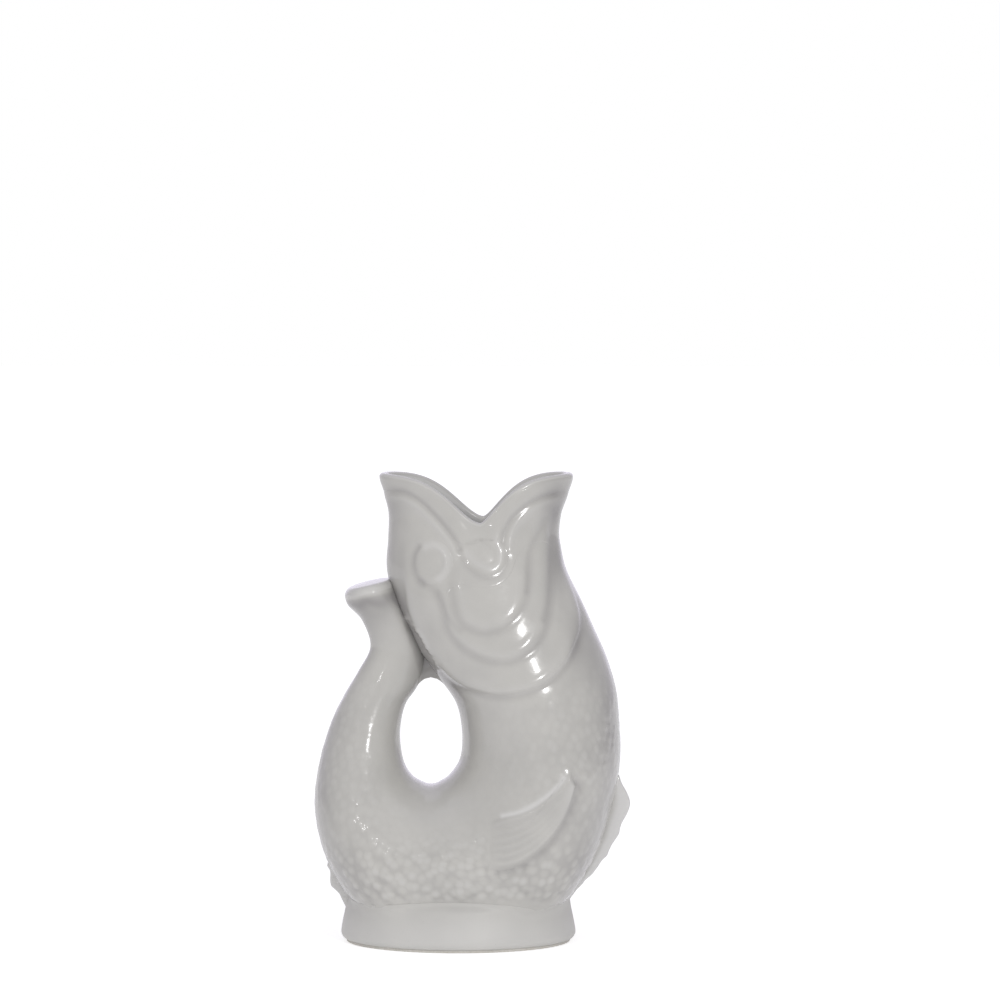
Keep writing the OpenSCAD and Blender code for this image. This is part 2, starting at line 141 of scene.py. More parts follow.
# Lips
LIP_EDGE = [(355, 489), (389, 490), (400, 491), (415, 498), (430, 511), (445, 527), (456, 541), (468, 546),
            (483, 542), (496, 541), (503, 535), (506, 527), (513, 518), (525, 507), (540, 498), (555, 493),
            (566, 491), (600, 490)]
ABOVE_THE_LIPS = [[600, 430], [355, 430]]
LIP_GROOVE_LEFT = [(380, 490), (400, 491), (415, 498), (430, 511), (445, 527), (454, 539), (459, 549)]
LIP_RIDGE_LEFT = [(385, 497), (400, 498), (416, 505), (430, 518), (443, 533), (452, 544), (456, 554)]
LIP_GROOVE_RIGHT = [(572, 491), (555, 493), (540, 498), (525, 507), (513, 518), (506, 530), (503, 543)]
LIP_RIDGE_RIGHT = [(560, 499), (543, 503), (529, 511), (518, 522), (511, 536), (509, 550)]
LIP_TIPS = ((380, 402), (552, 572))
LIP_SWELL, LIP_BREADTH = 0.55, 22
TIP_ROW, TIP_SWELL, TIP_WIDTH = 480, 0.55, 7.0
LIP_TOP, LIP_BOTTOM = 0.06, 4.0
LIP_SINK_START = 0.35

# Lobe under the corner of the mouth
LOBE_MIDDLE, LOBE_AXES, LOBE_TURN = (481, 553), (13.5, 8.5), math.radians(38)
LOBE_DOME, LOBE_RING, LOBE_RING_AT = 0.36, 0.10, 1.15
LOBE_RIDGE = [(497, 541), (501, 551), (500, 562), (493, 568), (484, 567), (474, 561), (466, 552)]
LOBE_GROOVE = [(460, 552), (466, 565), (476, 574), (487, 578), (499, 574), (506, 563), (507, 549)]
LOBE_OUTLINE = [(470, 541), (484, 538), (498, 540), (506, 549), (507, 562), (500, 574), (487, 579),
                (475, 574), (464, 563), (460, 550)]

# Eye, whose ring opens to the lower left
EYE_MIDDLE, EYE_BALL, EYE_RING, EYE_OUTER = (430.5, 562), 12.5, 17.0, 22.0
EYE_DOME, RING_RISE, RING_WIDTH = 0.46, 0.55, 3.8
RING_OPENING, OPENING_WIDTH = -2.7, 0.9
EYE_GROOVE = [(418, 547), (414, 556), (413, 566), (416, 576), (422, 584)]
EYE_RIDGE = [(426, 546), (434, 545), (441, 549), (446, 556), (447, 564), (445, 572), (440, 579)]
CHEEK_LINE = [(418, 581), (427, 586), (436, 592), (442, 601), (446, 612), (452, 622), (460, 630)]

# Crevice between the tail and the head
CREVICE = [(388, 582), (400, 603), (406, 615), (410, 625), (420, 645), (430, 665), (434, 673)]
CREVICE_RIDGE = [(408, 620), (415, 627), (424, 637), (430, 650), (436, 661), (439, 672)]
CREVICE_NODULE, NODULE_RISE, NODULE_WIDTH = (406, 617), 0.8, 2.4
CREVICE_RISE = 0.75

# Gill plates and the folds in front of them
INNER_GILL = [(454, 470), (453, 560), (455, 590), (460, 612), (470, 625), (487, 630), (505, 624),
              (517, 612), (524, 592), (527, 565), (530, 540), (533, 470)]
MIDDLE_GILL = [(432, 470), (433, 560), (437, 585), (443, 600), (447, 615), (453, 633), (467, 648),
               (485, 657), (505, 660), (523, 654), (536, 642), (544, 625), (548, 605), (550, 575),
               (551, 540), (552, 470)]
OUTER_GILL = [(405, 470), (405, 590), (420, 635), (434, 657), (446, 674), (463, 686), (478, 691),
              (497, 695), (518, 693), (537, 687), (553, 677), (566, 662), (574, 645), (579, 628),
              (578, 610), (572, 590), (565, 572), (560, 550), (560, 470)]
GILL_OUTLINE = [(447, 608), (452, 590), (462, 585), (480, 588), (497, 586), (510, 575), (518, 556),
                (530, 545), (546, 543), (557, 556), (566, 574), (573, 592), (578, 610), (579, 628),
                (574, 645), (566, 662), (553, 677), (537, 687), (518, 693), (497, 695), (478, 691),
                (463, 686), (450, 677), (443, 662), (441, 640), (443, 622)]
GILL_FADE = (525, 620)
FOLD_INNER = [(545, 520), (540, 530), (533, 545), (529, 558), (528, 575), (527, 592)]
FOLD_MIDDLE = [(556, 512), (552, 528), (551, 551), (549, 576), (547, 601), (543, 620)]
FOLD_RIDGE = [(549, 520), (543, 540), (540, 560), (539, 580), (536, 602)]
FOLD_OUTER_RIDGE = [(560, 545), (558, 570), (557, 594), (555, 622)]

# Side fin, from its free end to its root, with its rays as shares of the way up
PECTORAL_LOWER = [(489, 869), (505, 870), (520, 865), (534, 856), (545, 846), (557, 832), (566, 816),
                  (572, 801), (576, 786)]
PECTORAL_UPPER = [(489, 819), (503, 816), (517, 813), (530, 808), (541, 801), (551, 793), (559, 785),
                  (564, 778), (570, 772)]
PECTORAL_RAYS = (0.12, 0.27, 0.42, 0.57, 0.72, 0.87)
PECTORAL_RISE, PECTORAL_ROLL, RAY_RISE, UNDER_CUT = 1.3, 0.85, 0.34, 0.75
PECTORAL_EDGE = 4.6
PECTORAL_FRONT, PECTORAL_START = (484, 512), (486, 500)

# Fins on the midline, and slip waved over the edge of the foot
BELLY_FIN_EDGE = [(619, 774), (622, 783), (627, 792), (630, 801), (629, 808), (626, 815), (622, 822),
                  (620, 828), (619, 833), (616, 838), (612, 844), (609, 850), (607, 855), (602, 860),
                  (598, 866), (595, 870), (592, 874), (586, 879), (582, 884), (577, 889), (574, 893),
                  (571, 897), (569, 901), (568, 905)]
ANAL_FIN_EDGE = [(328, 862), (327, 866), (328, 868), (330, 872), (330, 880), (331, 886), (335, 890),
                 (339, 894), (341, 898), (343, 902), (346, 908)]
BELLY_FIN_STATIONS, ANAL_FIN_STATIONS = (10.35, 13.1), (17.95, 16.9)
FIN_THICKNESS, FIN_ROOT_DEPTH = 4.2, 3.2
FOOT_WAVES = [
    [(364, 884), (374, 889), (380, 898), (390, 904)], [(356, 890), (365, 896), (373, 904)],
    [(379, 880), (388, 886), (397, 896), (409, 902)], [(528, 895), (538, 901), (550, 899), (560, 893)],
    [(520, 890), (530, 894), (542, 892)], [(448, 893), (456, 900), (466, 901), (474, 896)],
    [(425, 892), (433, 899), (443, 900)],
]

# Finger hole, and the slip from the arch over it to the tail fin with its half width in millimetres
HOLE_OUTLINE = [(431, 675), (418, 682), (408, 700), (401, 722), (399, 745), (404, 765), (414, 779),
                (430, 785), (446, 781), (457, 768), (464, 748), (464, 725), (458, 705), (449, 687),
                (440, 677)]
HOLE_SHADE = [(437, 670), (446, 679), (454, 690), (460, 705), (465, 722), (467, 742)]
HOLE_SHADE_FADE = (696, 744)
SEAM_LINE = [(431.0, 677.0, 12.5), (430.0, 669.0, 10.0), (424.5, 655.0, 7.5), (415.0, 636.0, 5.5),
             (404.0, 612.0, 4.2), (391.0, 586.0, 2.6)]
SEAM_HALF_DEPTH = 2.9
SEAM_ARCH, ARCH_WIDTH, ARCH_END = 6.5, 0.72, 0.32

# Strokes of the carving, and of the glaze's tone with painted shade and painted light: line, height or
# amount, half width
LIP_RIDGES = ((LIP_RIDGE_LEFT, 0.60, 3.2), (LIP_RIDGE_RIGHT, 0.40, 3.2))
LIP_GROOVES = ((LIP_GROOVE_LEFT, 0.62, 3.3), (LIP_GROOVE_RIGHT, 0.50, 3.3))
LOBE_RIDGES = ((LOBE_RIDGE, 0.24, 4.4),)
LOBE_GROOVES = ((LOBE_GROOVE, 0.34, 3.8),)
EYE_GROOVES = ((EYE_GROOVE, 0.60, 3.6), (CHEEK_LINE, 0.35, 3.8))
GILL_FOLDS = ((FOLD_MIDDLE, 0.58, 4.2), (FOLD_INNER, 0.36, 3.8))
GILL_RIBS = ((FOLD_RIDGE, 0.25, 4.5), (FOLD_OUTER_RIDGE, 0.25, 5.0))
CREVICE_GROOVES = ((CREVICE, 0.15, 4.0),)
# Painted shade in the crevice, partly its duller slip, and painted shade beside the finger hole
CREVICE_SLIP_AND_PAINTED_SHADE = ((CREVICE, 0.60, 5.0),)
HOLE_PAINTED_SHADE = ((HOLE_SHADE, 0.85, 5.2),)
WAVE_STROKES = [(line, 0.40, 2.6) for line in FOOT_WAVES]
# Painted light along ridges, partly glaze lying thin on them; along the side fin's upper edge it is a painted
# highlight
RIDGE_THIN_GLAZE_AND_PAINTED_LIGHT = ((EYE_RIDGE, 0.30, 4.6), (LOBE_RIDGE, 0.22, 4.0), (LIP_RIDGE_LEFT, 0.22, 4.5),
              (LIP_RIDGE_RIGHT, 0.18, 4.5), (CREVICE_RIDGE, 0.40, 3.0), (PECTORAL_UPPER[1:8], 0.70, 2.8))

# Gill plates: line, step up, roll along the edge, width of the edge
GILL_PLATES = ((OUTER_GILL, 1.0, 0.37, 4.6), (MIDDLE_GILL, 0.75, 0.32, 4.8), (INNER_GILL, 0.55, 0.25, 5.2))

# Patches of painted shade, and of painted light where the amount is negative: x, y, half width, half height,
# amount
PAINTED_SHADE_AND_LIGHT_PATCHES = [(558, 504, 14, 22, 0.85), (389, 507, 13, 20, 0.55), (557, 560, 8, 30, 0.5),
                 (392, 560, 12, 30, 0.2), (575, 640, 8, 26, 0.65), (592, 650, 10, 30, 0.3),
                 (612, 690, 10, 50, 0.35), (614, 760, 12, 80, 0.45), (585, 865, 24, 34, 0.40),
                 (322, 790, 6, 60, 0.2), (354, 868, 16, 22, 0.2), (366, 612, 26, 22, 0.50),
                 (436, 802, 36, 18, -0.30)]
CUT_POOL, WAVE_POOL = 0.62, 0.48

# Scales, from the throat to the tail fin
SCALE_STATIONS = (4.5, 26.0)
SCALE_PITCH = 5.5
SCALE_RISE = 0.56
SCALE_MIDDLE = 0.35
SCALE_ROW, SCALE_AHEAD, SCALE_ACROSS = 0.86, 0.58, 0.52  # shares of the pitch
SCALE_SHIFT = (0.30, 0.09)  # sideways in places of a row, lengthways in stations
SCALE_POOL = (0.26, 0.66)  # tone in the gaps, and how much lighter the scales are
SCALE_LEAST, SCALE_FRONT, SCALE_TAIL = 0.12, 0.42, 0.24
NEIGHBOURS = 4
LUMPS = ((0.12, 17.0, 3), (0.03, 8.0, 5), (0.01, 3.4, 9))  # height, size and seed of each noise

# Where the scales fade in or out: pixel rows and columns, and distances outside lines of the carving
SCALE_TOP, SCALE_LOW, SCALE_END = (630, 690), (824, 872), (893, 906)
FRONT_COLUMNS, FRONT_ROWS = (490, 585), (640, 760)
BACK_COLUMNS, BACK_ROWS = (425, 370), (650, 740)
SCALE_GAPS = {"outer_gill": (4, 22), "hole": (12, 46), "pectoral": (-1, 3)}

# Sprigs, the pieces laid on the skin
SPRIG_SINK = 0.7
SPRIG_DEPTH = 0.9
SPRIG_LIFT = 0.03
SPRIG_DIP = 0.6
SPRIG_MARGIN = 2.6
EYE_OUTLINE = [(EYE_MIDDLE[0] + EYE_OUTER * math.cos(a), EYE_MIDDLE[1] + EYE_OUTER * math.sin(a))
               for a in np.radians(np.arange(0, 360, 20))]
PECTORAL_OUTLINE = PECTORAL_LOWER + PECTORAL_UPPER[::-1]
FLANK_SPRIGS = {  # outline, a point in the middle, rows and columns of the mesh
    "jaw_lobe": (LOBE_OUTLINE, (483, 558), (46, 220)),
    "eye": (EYE_OUTLINE, EYE_MIDDLE, (46, 220)),
    "gill_cover": (GILL_OUTLINE, (510, 625), (90, 360)),
    "pectoral_fin": (PECTORAL_OUTLINE, (520, 838), (70, 320)),
}

# Tail fin: rolled edge, how far it stops short of the last station, and the scallops below its edge
FLUKE_ROLL = 4.4
FLUKE_SHORT = 0.46
FLUKE_CROWN = 0.7
SCALLOPS, SCALLOP_DEPTH, SCALLOP_STATION = 9, 0.22, 26.0

# Glaze and clay
GLAZE_LIGHT = (0.550, 0.541, 0.513)
GLAZE_DARK = (0.488, 0.481, 0.459)
# Darker colour for thicker glaze and for painted shade; lighter colour for thin glaze and for painted light
GLAZE_POOLED_AND_PAINTED_SHADE = (0.63, 0.62, 0.64)
GLAZE_THIN_AND_PAINTED_LIGHT = (0.700, 0.695, 0.685)
SPECK = (0.36, 0.34, 0.31)
CLAY_LIGHT = (0.66, 0.64, 0.60)
CLAY_DARK = (0.58, 0.56, 0.52)

# Studio: a tent of light with its tones from low to high and from front to back, a white floor, two lamps
TENT_STRENGTH = 0.80
TENT_RIGHT = 0.62
TENT_LOW = (0.98, 0.97, 0.97)
TENT_HIGH = (1.50, 1.48, 1.54)
TENT_ROUND = [(0.0, (0.95, 0.95, 0.94)), (0.30, (0.85, 0.85, 0.84)), (0.52, (0.58, 0.58, 0.60)),
              (0.74, (0.52, 0.51, 0.57)), (0.92, (0.85, 0.83, 0.93)), (1.0, (1.35, 1.31, 1.50))]
FLOOR_SIDE = 6.0
FLOOR_TONE = (0.80, 0.80, 0.80)
FLOOR_GLOW = 0.55
FLOOR_BOUNCE = 0.26
LAMP_TARGET = (0, 0, 0.12)
KEY_LAMP = ("key", (1.18, -2.98, 1.56), (0.30, 0.22), 24.0)
SECOND_LAMP = ("second", (-1.18, -2.87, 1.50), (0.10, 0.09), 1.1)


# Curves and fields
def unit(vectors):
    """Vectors of length 1."""
    return vectors / np.maximum(np.linalg.norm(vectors, axis=-1, keepdims=True), 1e-9)


def arc_length(points):
    """Length along a polyline up to each of its points."""
    return np.concatenate([[0], np.cumsum(np.linalg.norm(np.diff(points, axis=0), axis=1))])


def evenly(points, count):
    """Points spaced evenly along a curve."""
    length = arc_length(points)
    at = np.linspace(0, length[-1], count)
    return np.stack([np.interp(at, length, points[:, k]) for k in range(points.shape[1])], -1)


def spline_rows(table, u):
    """Catmull-Rom value of a table at places u, one row of the table per place."""
    last = len(table) - 1
    i = np.clip(np.floor(u).astype(int), 0, last - 1)
    t = (u - i)[..., None]
    a, b, c, d = (table[np.clip(i + k, 0, last)] for k in (-1, 0, 1, 2))
    return b + 0.5 * t * (c - a + t * (2 * a - 5 * b + 4 * c - d + t * (3 * (b - c) + d - a)))


def smooth_line(points, steps=5):
    """A curve of closely spaced points through the given ones."""
    table = np.array(points, float)
    return spline_rows(table, np.linspace(0, len(table) - 1, (len(table) - 1) * steps + 1))


def closed_line(points, steps=5):
    """A smooth closed curve through the given points, with its first point repeated at the end."""
    table = np.array([points[-1], *points, points[0], points[1]], float)
    return spline_rows(table, np.linspace(1, len(points) + 1, len(points) * steps + 1))


def line_distance(places, line):
    """Distance of each place to a polyline."""
    best = np.full(places.shape[:-1], 1e9)
    for a, b in zip(line[:-1], line[1:]):
        edge = b - a
        t = np.clip(((places - a) @ edge) / max(edge @ edge, 1e-9), 0, 1)
        gap = places - a - t[..., None] * edge
        best = np.minimum(best, np.einsum("...i,...i", gap, gap))
    return np.sqrt(best)


def signed_distance(places, line):
    """Distance to a closed polyline, positive inside it."""
    x, y = places[..., 0], places[..., 1]
    inside = np.zeros(x.shape, bool)
    for a, b in zip(line, np.roll(line, -1, axis=0)):
        if a[1] != b[1]:
            inside ^= ((a[1] > y) != (b[1] > y)) & (x < (b[0] - a[0]) * (y - a[1]) / (b[1] - a[1]) + a[0])
    gap = line_distance(places, np.vstack([line, line[:1]]))
    return np.where(inside, gap, -gap)


def radius(places, middle):
    """Distance of each place to a point."""
    return np.linalg.norm(places - np.array(middle, float), axis=-1)


def ramp(value, start, end):
    """Smooth step from 0 at start to 1 at end."""
    t = np.clip((value - start) / (end - start), 0, 1)
    return t * t * (3 - 2 * t)


def bump(distance, width):
    """Bell curve: 1 at no distance, about a third at the width."""
    return np.exp(-(distance / width) ** 2)


def strokes(px, table):
    """Soft strokes along lines, added up, each with its own height and width."""
    return sum(height * bump(line_distance(px, smooth_line(line)), width) for line, height, width in table)


def first_hit(places, hit):
    """The first place in each column where hit is true, or the last place where it never is."""
    return np.where(hit.any(axis=0), places[hit.argmax(axis=0)], places[-1])


def running_mean(values, reach, ends):
    """The mean of each value and its neighbours within reach."""
    count = 2 * reach + 1
    return np.convolve(np.pad(values, reach, mode=ends), np.full(count, 1 / count), mode="valid")


def value_noise(places, cell, seed):
    """Smooth noise from -1 to 1 whose features are about one cell wide."""
    size = 32
    lattice = np.random.default_rng(seed).uniform(-1, 1, (size, size, size))
    p = places / cell
    i = np.floor(p).astype(int)
    t = p - i
    t = t * t * (3 - 2 * t)
    total = 0
    for corner in np.ndindex(2, 2, 2):
        weight = np.prod(np.where(corner, t, 1 - t), axis=-1)
        total = total + weight * lattice[tuple(np.moveaxis((i + corner) % size, -1, 0))]
    return total


# Skin of the fish
def dip_part(s):
    """Share of the mouth's dip from the back (0) to the belly (1), deepest at the corner of the mouth."""
    back = s < MOUTH_CORNER
    away = np.where(back, 1 - s / MOUTH_CORNER, (s - MOUTH_CORNER) / (1 - MOUTH_CORNER))
    reach = np.where(back, *DIP_REACH)
    square = np.where(back, *DIP_SQUARENESS)
    return np.exp(-(np.maximum(away, 0) / reach) ** square)


def skin(u, v, grow=0.0):
    """Skin at station u and angle v in degrees: 0 is the belly, 180 the back, 270 the near flank."""
    u, v, grow = np.broadcast_arrays(np.asarray(u, float), np.asarray(v, float), np.asarray(grow, float))
    columns = np.moveaxis(spline_rows(STATIONS, u), -1, 0)
    back_x, back_z, belly_x, belly_z, half_depth, widest, back_square, belly_square, dip_share = columns
    back = np.stack([back_x * JUG_LENGTH, back_z * JUG_HEIGHT], -1)
    belly = np.stack([belly_x * JUG_LENGTH, belly_z * JUG_HEIGHT], -1)
    span = np.linalg.norm(belly - back, axis=-1)
    along = (belly - back) / span[..., None]
    c, s = np.cos(np.radians(v)), np.sin(np.radians(v))
    power = 2 / np.where(c < 0, back_square, belly_square)
    reach = np.where(c < 0, -(widest * span + grow), (1 - widest) * span + grow)
    place = widest * span + reach * np.abs(c) ** power
    side = np.sign(s) * (half_depth * JUG_DEPTH / 2 + grow) * np.abs(s) ** power
    dip = np.maximum(dip_share, 0) * MOUTH_DIP * dip_part(place / span)
    flat = back + along * place[..., None]
    return np.stack([flat[..., 0], side, flat[..., 1] - dip], -1)


def skin_normals(u, v):
    """Outward normals of the skin."""
    du, dv = 0.02, 0.4
    low, high = np.clip(u - du, 0, FLUKE_END), np.clip(u + du, 0, FLUKE_END)
    return unit(np.cross(skin(high, v) - skin(low, v), skin(u, v + dv) - skin(u, v - dv)))


def project(points):
    """Photograph pixels of points on the flank nearer the camera; the far flank takes its mirror image's."""
    x, near, z = points[..., 0], -np.abs(points[..., 1]), points[..., 2]
    cos, sin = math.cos(CAMERA_TURN), math.sin(CAMERA_TURN)
    turned = np.stack([x * cos + near * sin, near * cos - x * sin, z], -1)
    place = (turned - [FOOT_TO_MIDDLE, 0, 0]) * MM - CAMERA_PLACE
    cos, sin = math.cos(CAMERA_PITCH), math.sin(CAMERA_PITCH)
    depth = place[..., 1] * cos - place[..., 2] * sin
    rise = place[..., 1] * sin + place[..., 2] * cos
    half = IMAGE_SIDE / 2
    return np.stack([half + FOCAL_PIXELS * place[..., 0] / depth, half - FOCAL_PIXELS * rise / depth], -1)


def middle_plane(pixels):
    """Places on the fish's middle plane behind photograph pixels."""
    cos, sin = math.cos(CAMERA_PITCH), math.sin(CAMERA_PITCH)
    across = (pixels[:, 0] - IMAGE_SIDE / 2) / FOCAL_PIXELS
    rise = (IMAGE_SIDE / 2 - pixels[:, 1]) / FOCAL_PIXELS
    ahead = -CAMERA_PLACE[1] / (cos + rise * sin)
    x = CAMERA_PLACE[0] + across * ahead
    z = CAMERA_PLACE[2] + (rise * cos - sin) * ahead
    return np.stack([x / MM + FOOT_TO_MIDDLE, 0 * x, z / MM], -1)


def skin_at_pixels(pixels, stations=(0.0, 15.0)):
    """Station and angle of the near flank's skin behind each pixel, found by Newton's method."""
    u, v = (grid.ravel() for grid in np.meshgrid(np.linspace(*stations, 76), np.linspace(182, 358, 89),
                                                 indexing="ij"))
    seen = skin_normals(u, v)[:, 1] < -0.1
    u, v = u[seen], v[seen]
    tree = KDTree(len(u))
    for i, p in enumerate(project(skin(u, v))):
        tree.insert((p[0], p[1], 0), i)
    tree.balance()
    flat = pixels.reshape(-1, 2)
    nearest = np.array([tree.find((p[0], p[1], 0))[1] for p in flat])
    u, v = u[nearest], v[nearest]
    du, dv = 0.01, 0.1
    for _ in range(8):
        here = project(skin(u, v))
        gu = (project(skin(u + du, v)) - here) / du
        gv = (project(skin(u, v + dv)) - here) / dv
        miss = flat - here
        det = gu[:, 0] * gv[:, 1] - gu[:, 1] * gv[:, 0]
        det = np.where(np.abs(det) < 1e-3, 1e-3, det)
        u = np.clip(u + np.clip((miss[:, 0] * gv[:, 1] - miss[:, 1] * gv[:, 0]) / det, -0.5, 0.5), *stations)
        v = np.clip(v + np.clip((gu[:, 0] * miss[:, 1] - gu[:, 1] * miss[:, 0]) / det, -8, 8), 181, 359)
    return u.reshape(pixels.shape[:-1]), v.reshape(pixels.shape[:-1])


# Scales
def scale_centres():
    """Staggered places of the scales with the direction towards the tail, from the throat to the tail fin."""
    rng = np.random.default_rng(7)
    fine = np.linspace(*SCALE_STATIONS, 1200)
    arc = arc_length(skin(fine, 45.0))
    rows = np.interp(np.arange(0, arc[-1], SCALE_PITCH * SCALE_ROW), arc, fine)
    centres, towards = [], []
    around = np.linspace(0, 360, 361)
    sideways, lengthways = SCALE_SHIFT
    for k, u in enumerate(rows):
        length = arc_length(skin(u, around))
        count = max(8, int(round(length[-1] / SCALE_PITCH / 2)) * 2)
        shift = rng.uniform(-sideways, sideways, count)
        places = (np.arange(count) + 0.5 * (k % 2) + shift) * length[-1] / count
        v = np.interp(places % length[-1], length, around)
        us = u + rng.uniform(-lengthways, lengthways, count)
        centres.append(skin(us, v))
        towards.append(unit(skin(us + 0.05, v) - skin(us - 0.05, v)))
    return np.concatenate(centres), np.concatenate(towards)


SCALES = scale_centres()
SCALE_TREE = KDTree(len(SCALES[0]))
for number, centre in enumerate(SCALES[0]):
    SCALE_TREE.insert(centre, number)
SCALE_TREE.balance()


def scale_height(points, normals):
    """Overlapping scales of uneven size, from 0 in their gaps to 1 on their free edges."""
    centres, towards = SCALES
    height = np.zeros(len(points))
    near = np.array([[i for _, i, _ in SCALE_TREE.find_n(p, NEIGHBOURS)] for p in points], int)
    for index in near.reshape(-1, NEIGHBOURS).T:
        gap = points - centres[index]
        ahead = np.einsum("ij,ij->i", gap, towards[index]) / (SCALE_PITCH * SCALE_AHEAD)
        across = np.einsum("ij,ij->i", gap, np.cross(normals, towards[index])) / (SCALE_PITCH * SCALE_ACROSS)
        size = 0.72 + 0.28 * np.sin(index * 2.399)
        dome = 1 - ramp(ahead ** 2 + across ** 2, -0.25, 1.05)
        height = np.maximum(height, dome * size * (0.92 + 0.08 * np.clip(ahead, -1, 1)))
    return height


# Carving: each function gives how far the clay is raised and cut, and some of them a tone of the glaze too
def pectoral_line(share):
    """A line along the side fin, at a share of the way from its lower to its upper edge."""
    low, high = np.array(PECTORAL_LOWER, float), np.array(PECTORAL_UPPER, float)
    return smooth_line(low * (1 - share) + high * share)


LINES = {
    "lip": np.vstack([smooth_line(LIP_EDGE), ABOVE_THE_LIPS]),
    "lobe": closed_line(LOBE_OUTLINE),
    "gill": closed_line(GILL_OUTLINE),
    "outer_gill": smooth_line(OUTER_GILL),
    "pectoral": np.vstack([smooth_line(PECTORAL_LOWER), smooth_line(PECTORAL_UPPER[::-1])]),
    "hole": closed_line(HOLE_OUTLINE),
}


def edge_step(inside, rise, roll, width):
    """A plate's rounded edge: up by rise inside, with a roll along the edge and a groove outside it."""
    return (rise * ramp(inside, -0.6 * width, 0.8 * width) + roll * bump(inside - 1.3 * width, width)
            - 0.6 * roll * bump(inside + 0.9 * width, 0.7 * width))


def lip_relief(px):
    """The swelling lips with a ridge and a groove along them, and their plain tips."""
    start, stop = LIP_TIPS
    shown = ramp(px[..., 0], *start) * (1 - ramp(px[..., 0], *stop))
    inside = signed_distance(px, LINES["lip"])
    swell = LIP_SWELL * np.sin(np.pi * np.clip(0.10 + inside / LIP_BREADTH, 0, 0.86)) * ramp(inside, -3, 3)
    tips = TIP_SWELL * bump(px[..., 1] - TIP_ROW, TIP_WIDTH) * (1 - shown)
    return (swell + strokes(px, LIP_RIDGES)) * shown + tips, strokes(px, LIP_GROOVES) * shown


def lobe_relief(px):
    """The oval lobe with a ridge and a groove round its lower side."""
    gap = px - np.array(LOBE_MIDDLE, float)
    cos, sin = math.cos(LOBE_TURN), math.sin(LOBE_TURN)
    a = (gap[..., 0] * cos + gap[..., 1] * sin) / LOBE_AXES[0]
    b = (gap[..., 1] * cos - gap[..., 0] * sin) / LOBE_AXES[1]
    r = np.sqrt(a * a + b * b)
    dome = LOBE_DOME * (1 - ramp(r, 0.1, LOBE_RING_AT))
    ring = LOBE_RING * bump(r - LOBE_RING_AT, 0.22)
    return dome + strokes(px, LOBE_RIDGES), ring + strokes(px, LOBE_GROOVES)


def eye_relief(px):
    """The eyeball in its open ring, and the grooves beside it."""
    gap = px - np.array(EYE_MIDDLE, float)
    r = radius(px, EYE_MIDDLE)
    turn = np.arctan2(-gap[..., 1], gap[..., 0])
    ball = EYE_DOME * (1 - ramp(r, 0, 1.15 * EYE_BALL))
    closed = 1 - 0.9 * bump(np.abs(np.angle(np.exp(1j * (turn - RING_OPENING)))), OPENING_WIDTH)
    ring = RING_RISE * bump(r - EYE_RING + 1.0, RING_WIDTH) * closed
    inner = 0.06 * bump(r - EYE_BALL, 2.4) * closed
    return ball + ring, inner + strokes(px, EYE_GROOVES)


def gill_relief(px):
    """The nested gill plates with darker glaze outside their edges, painted shade partly from glaze gathering
    there, and painted light just inside them, fading towards the eye and the lips.
    """
    fade = ramp(px[..., 1], *GILL_FADE) * ramp(radius(px, EYE_MIDDLE), 0.8 * EYE_OUTER, 1.7 * EYE_OUTER)
    raised, edge_glaze_and_painted_shade = 0, 0
    for line, rise, roll, width in GILL_PLATES:
        inside = signed_distance(px, smooth_line(line))
        raised = raised + edge_step(inside, rise, roll, width) * fade
        edge = 0.30 * bump(inside + 0.7 * width, 0.8 * width) - 0.08 * bump(inside - width, width)
        edge_glaze_and_painted_shade = edge_glaze_and_painted_shade + edge * fade
    return raised + strokes(px, GILL_RIBS), strokes(px, GILL_FOLDS), edge_glaze_and_painted_shade


def pectoral_relief(px):
    """The side fin: a plate with a rolled upper edge, rays, and a groove under its lower edge; its rays carry
    painted light and the gaps between them painted shade.
    """
    inside = signed_distance(px, LINES["pectoral"])
    front = ramp(px[..., 0], *PECTORAL_FRONT)
    near = ramp(inside, -1.0, 4.0) * ramp(px[..., 0], *PECTORAL_START)
    to_lower = line_distance(px, smooth_line(PECTORAL_LOWER))
    above = line_distance(px, smooth_line(PECTORAL_UPPER)) < to_lower
    slope = np.clip((inside + PECTORAL_EDGE) / (2 * PECTORAL_EDGE), 0, 1)
    plate = PECTORAL_RISE * np.where(above, slope, ramp(inside, -4.5, 5.5)) * front
    to_roll = line_distance(px, smooth_line(PECTORAL_UPPER[:8])) - 4.5
    roll = PECTORAL_ROLL * bump(to_roll, 4.4) * near * front
    rays = 0
    for share in PECTORAL_RAYS:
        rays = rays + RAY_RISE * (1.2 - share) * bump(line_distance(px, pectoral_line(share)), 2.6) * near
    under = UNDER_CUT * bump(to_lower - 2.0, 5.5) * ramp(-inside, -3.5, 2.0)
    return plate + roll + rays - 0.2 * near, under * (0.4 + 0.6 * front), near * (0.16 - 0.62 * rays)


def crevice_relief(px):
    """The lumpy ridge of slip on the head beside the tail."""
    y = px[..., 1]
    side = bump(line_distance(px, smooth_line(CREVICE_RIDGE)), 2.8)
    lumps = 0.60 + 0.50 * np.sin(y * 0.75) * np.sin(y * 0.37 + 1)
    nodule = NODULE_RISE * bump(radius(px, CREVICE_NODULE), NODULE_WIDTH)
    return CREVICE_RISE * side * lumps + nodule, strokes(px, CREVICE_GROOVES)


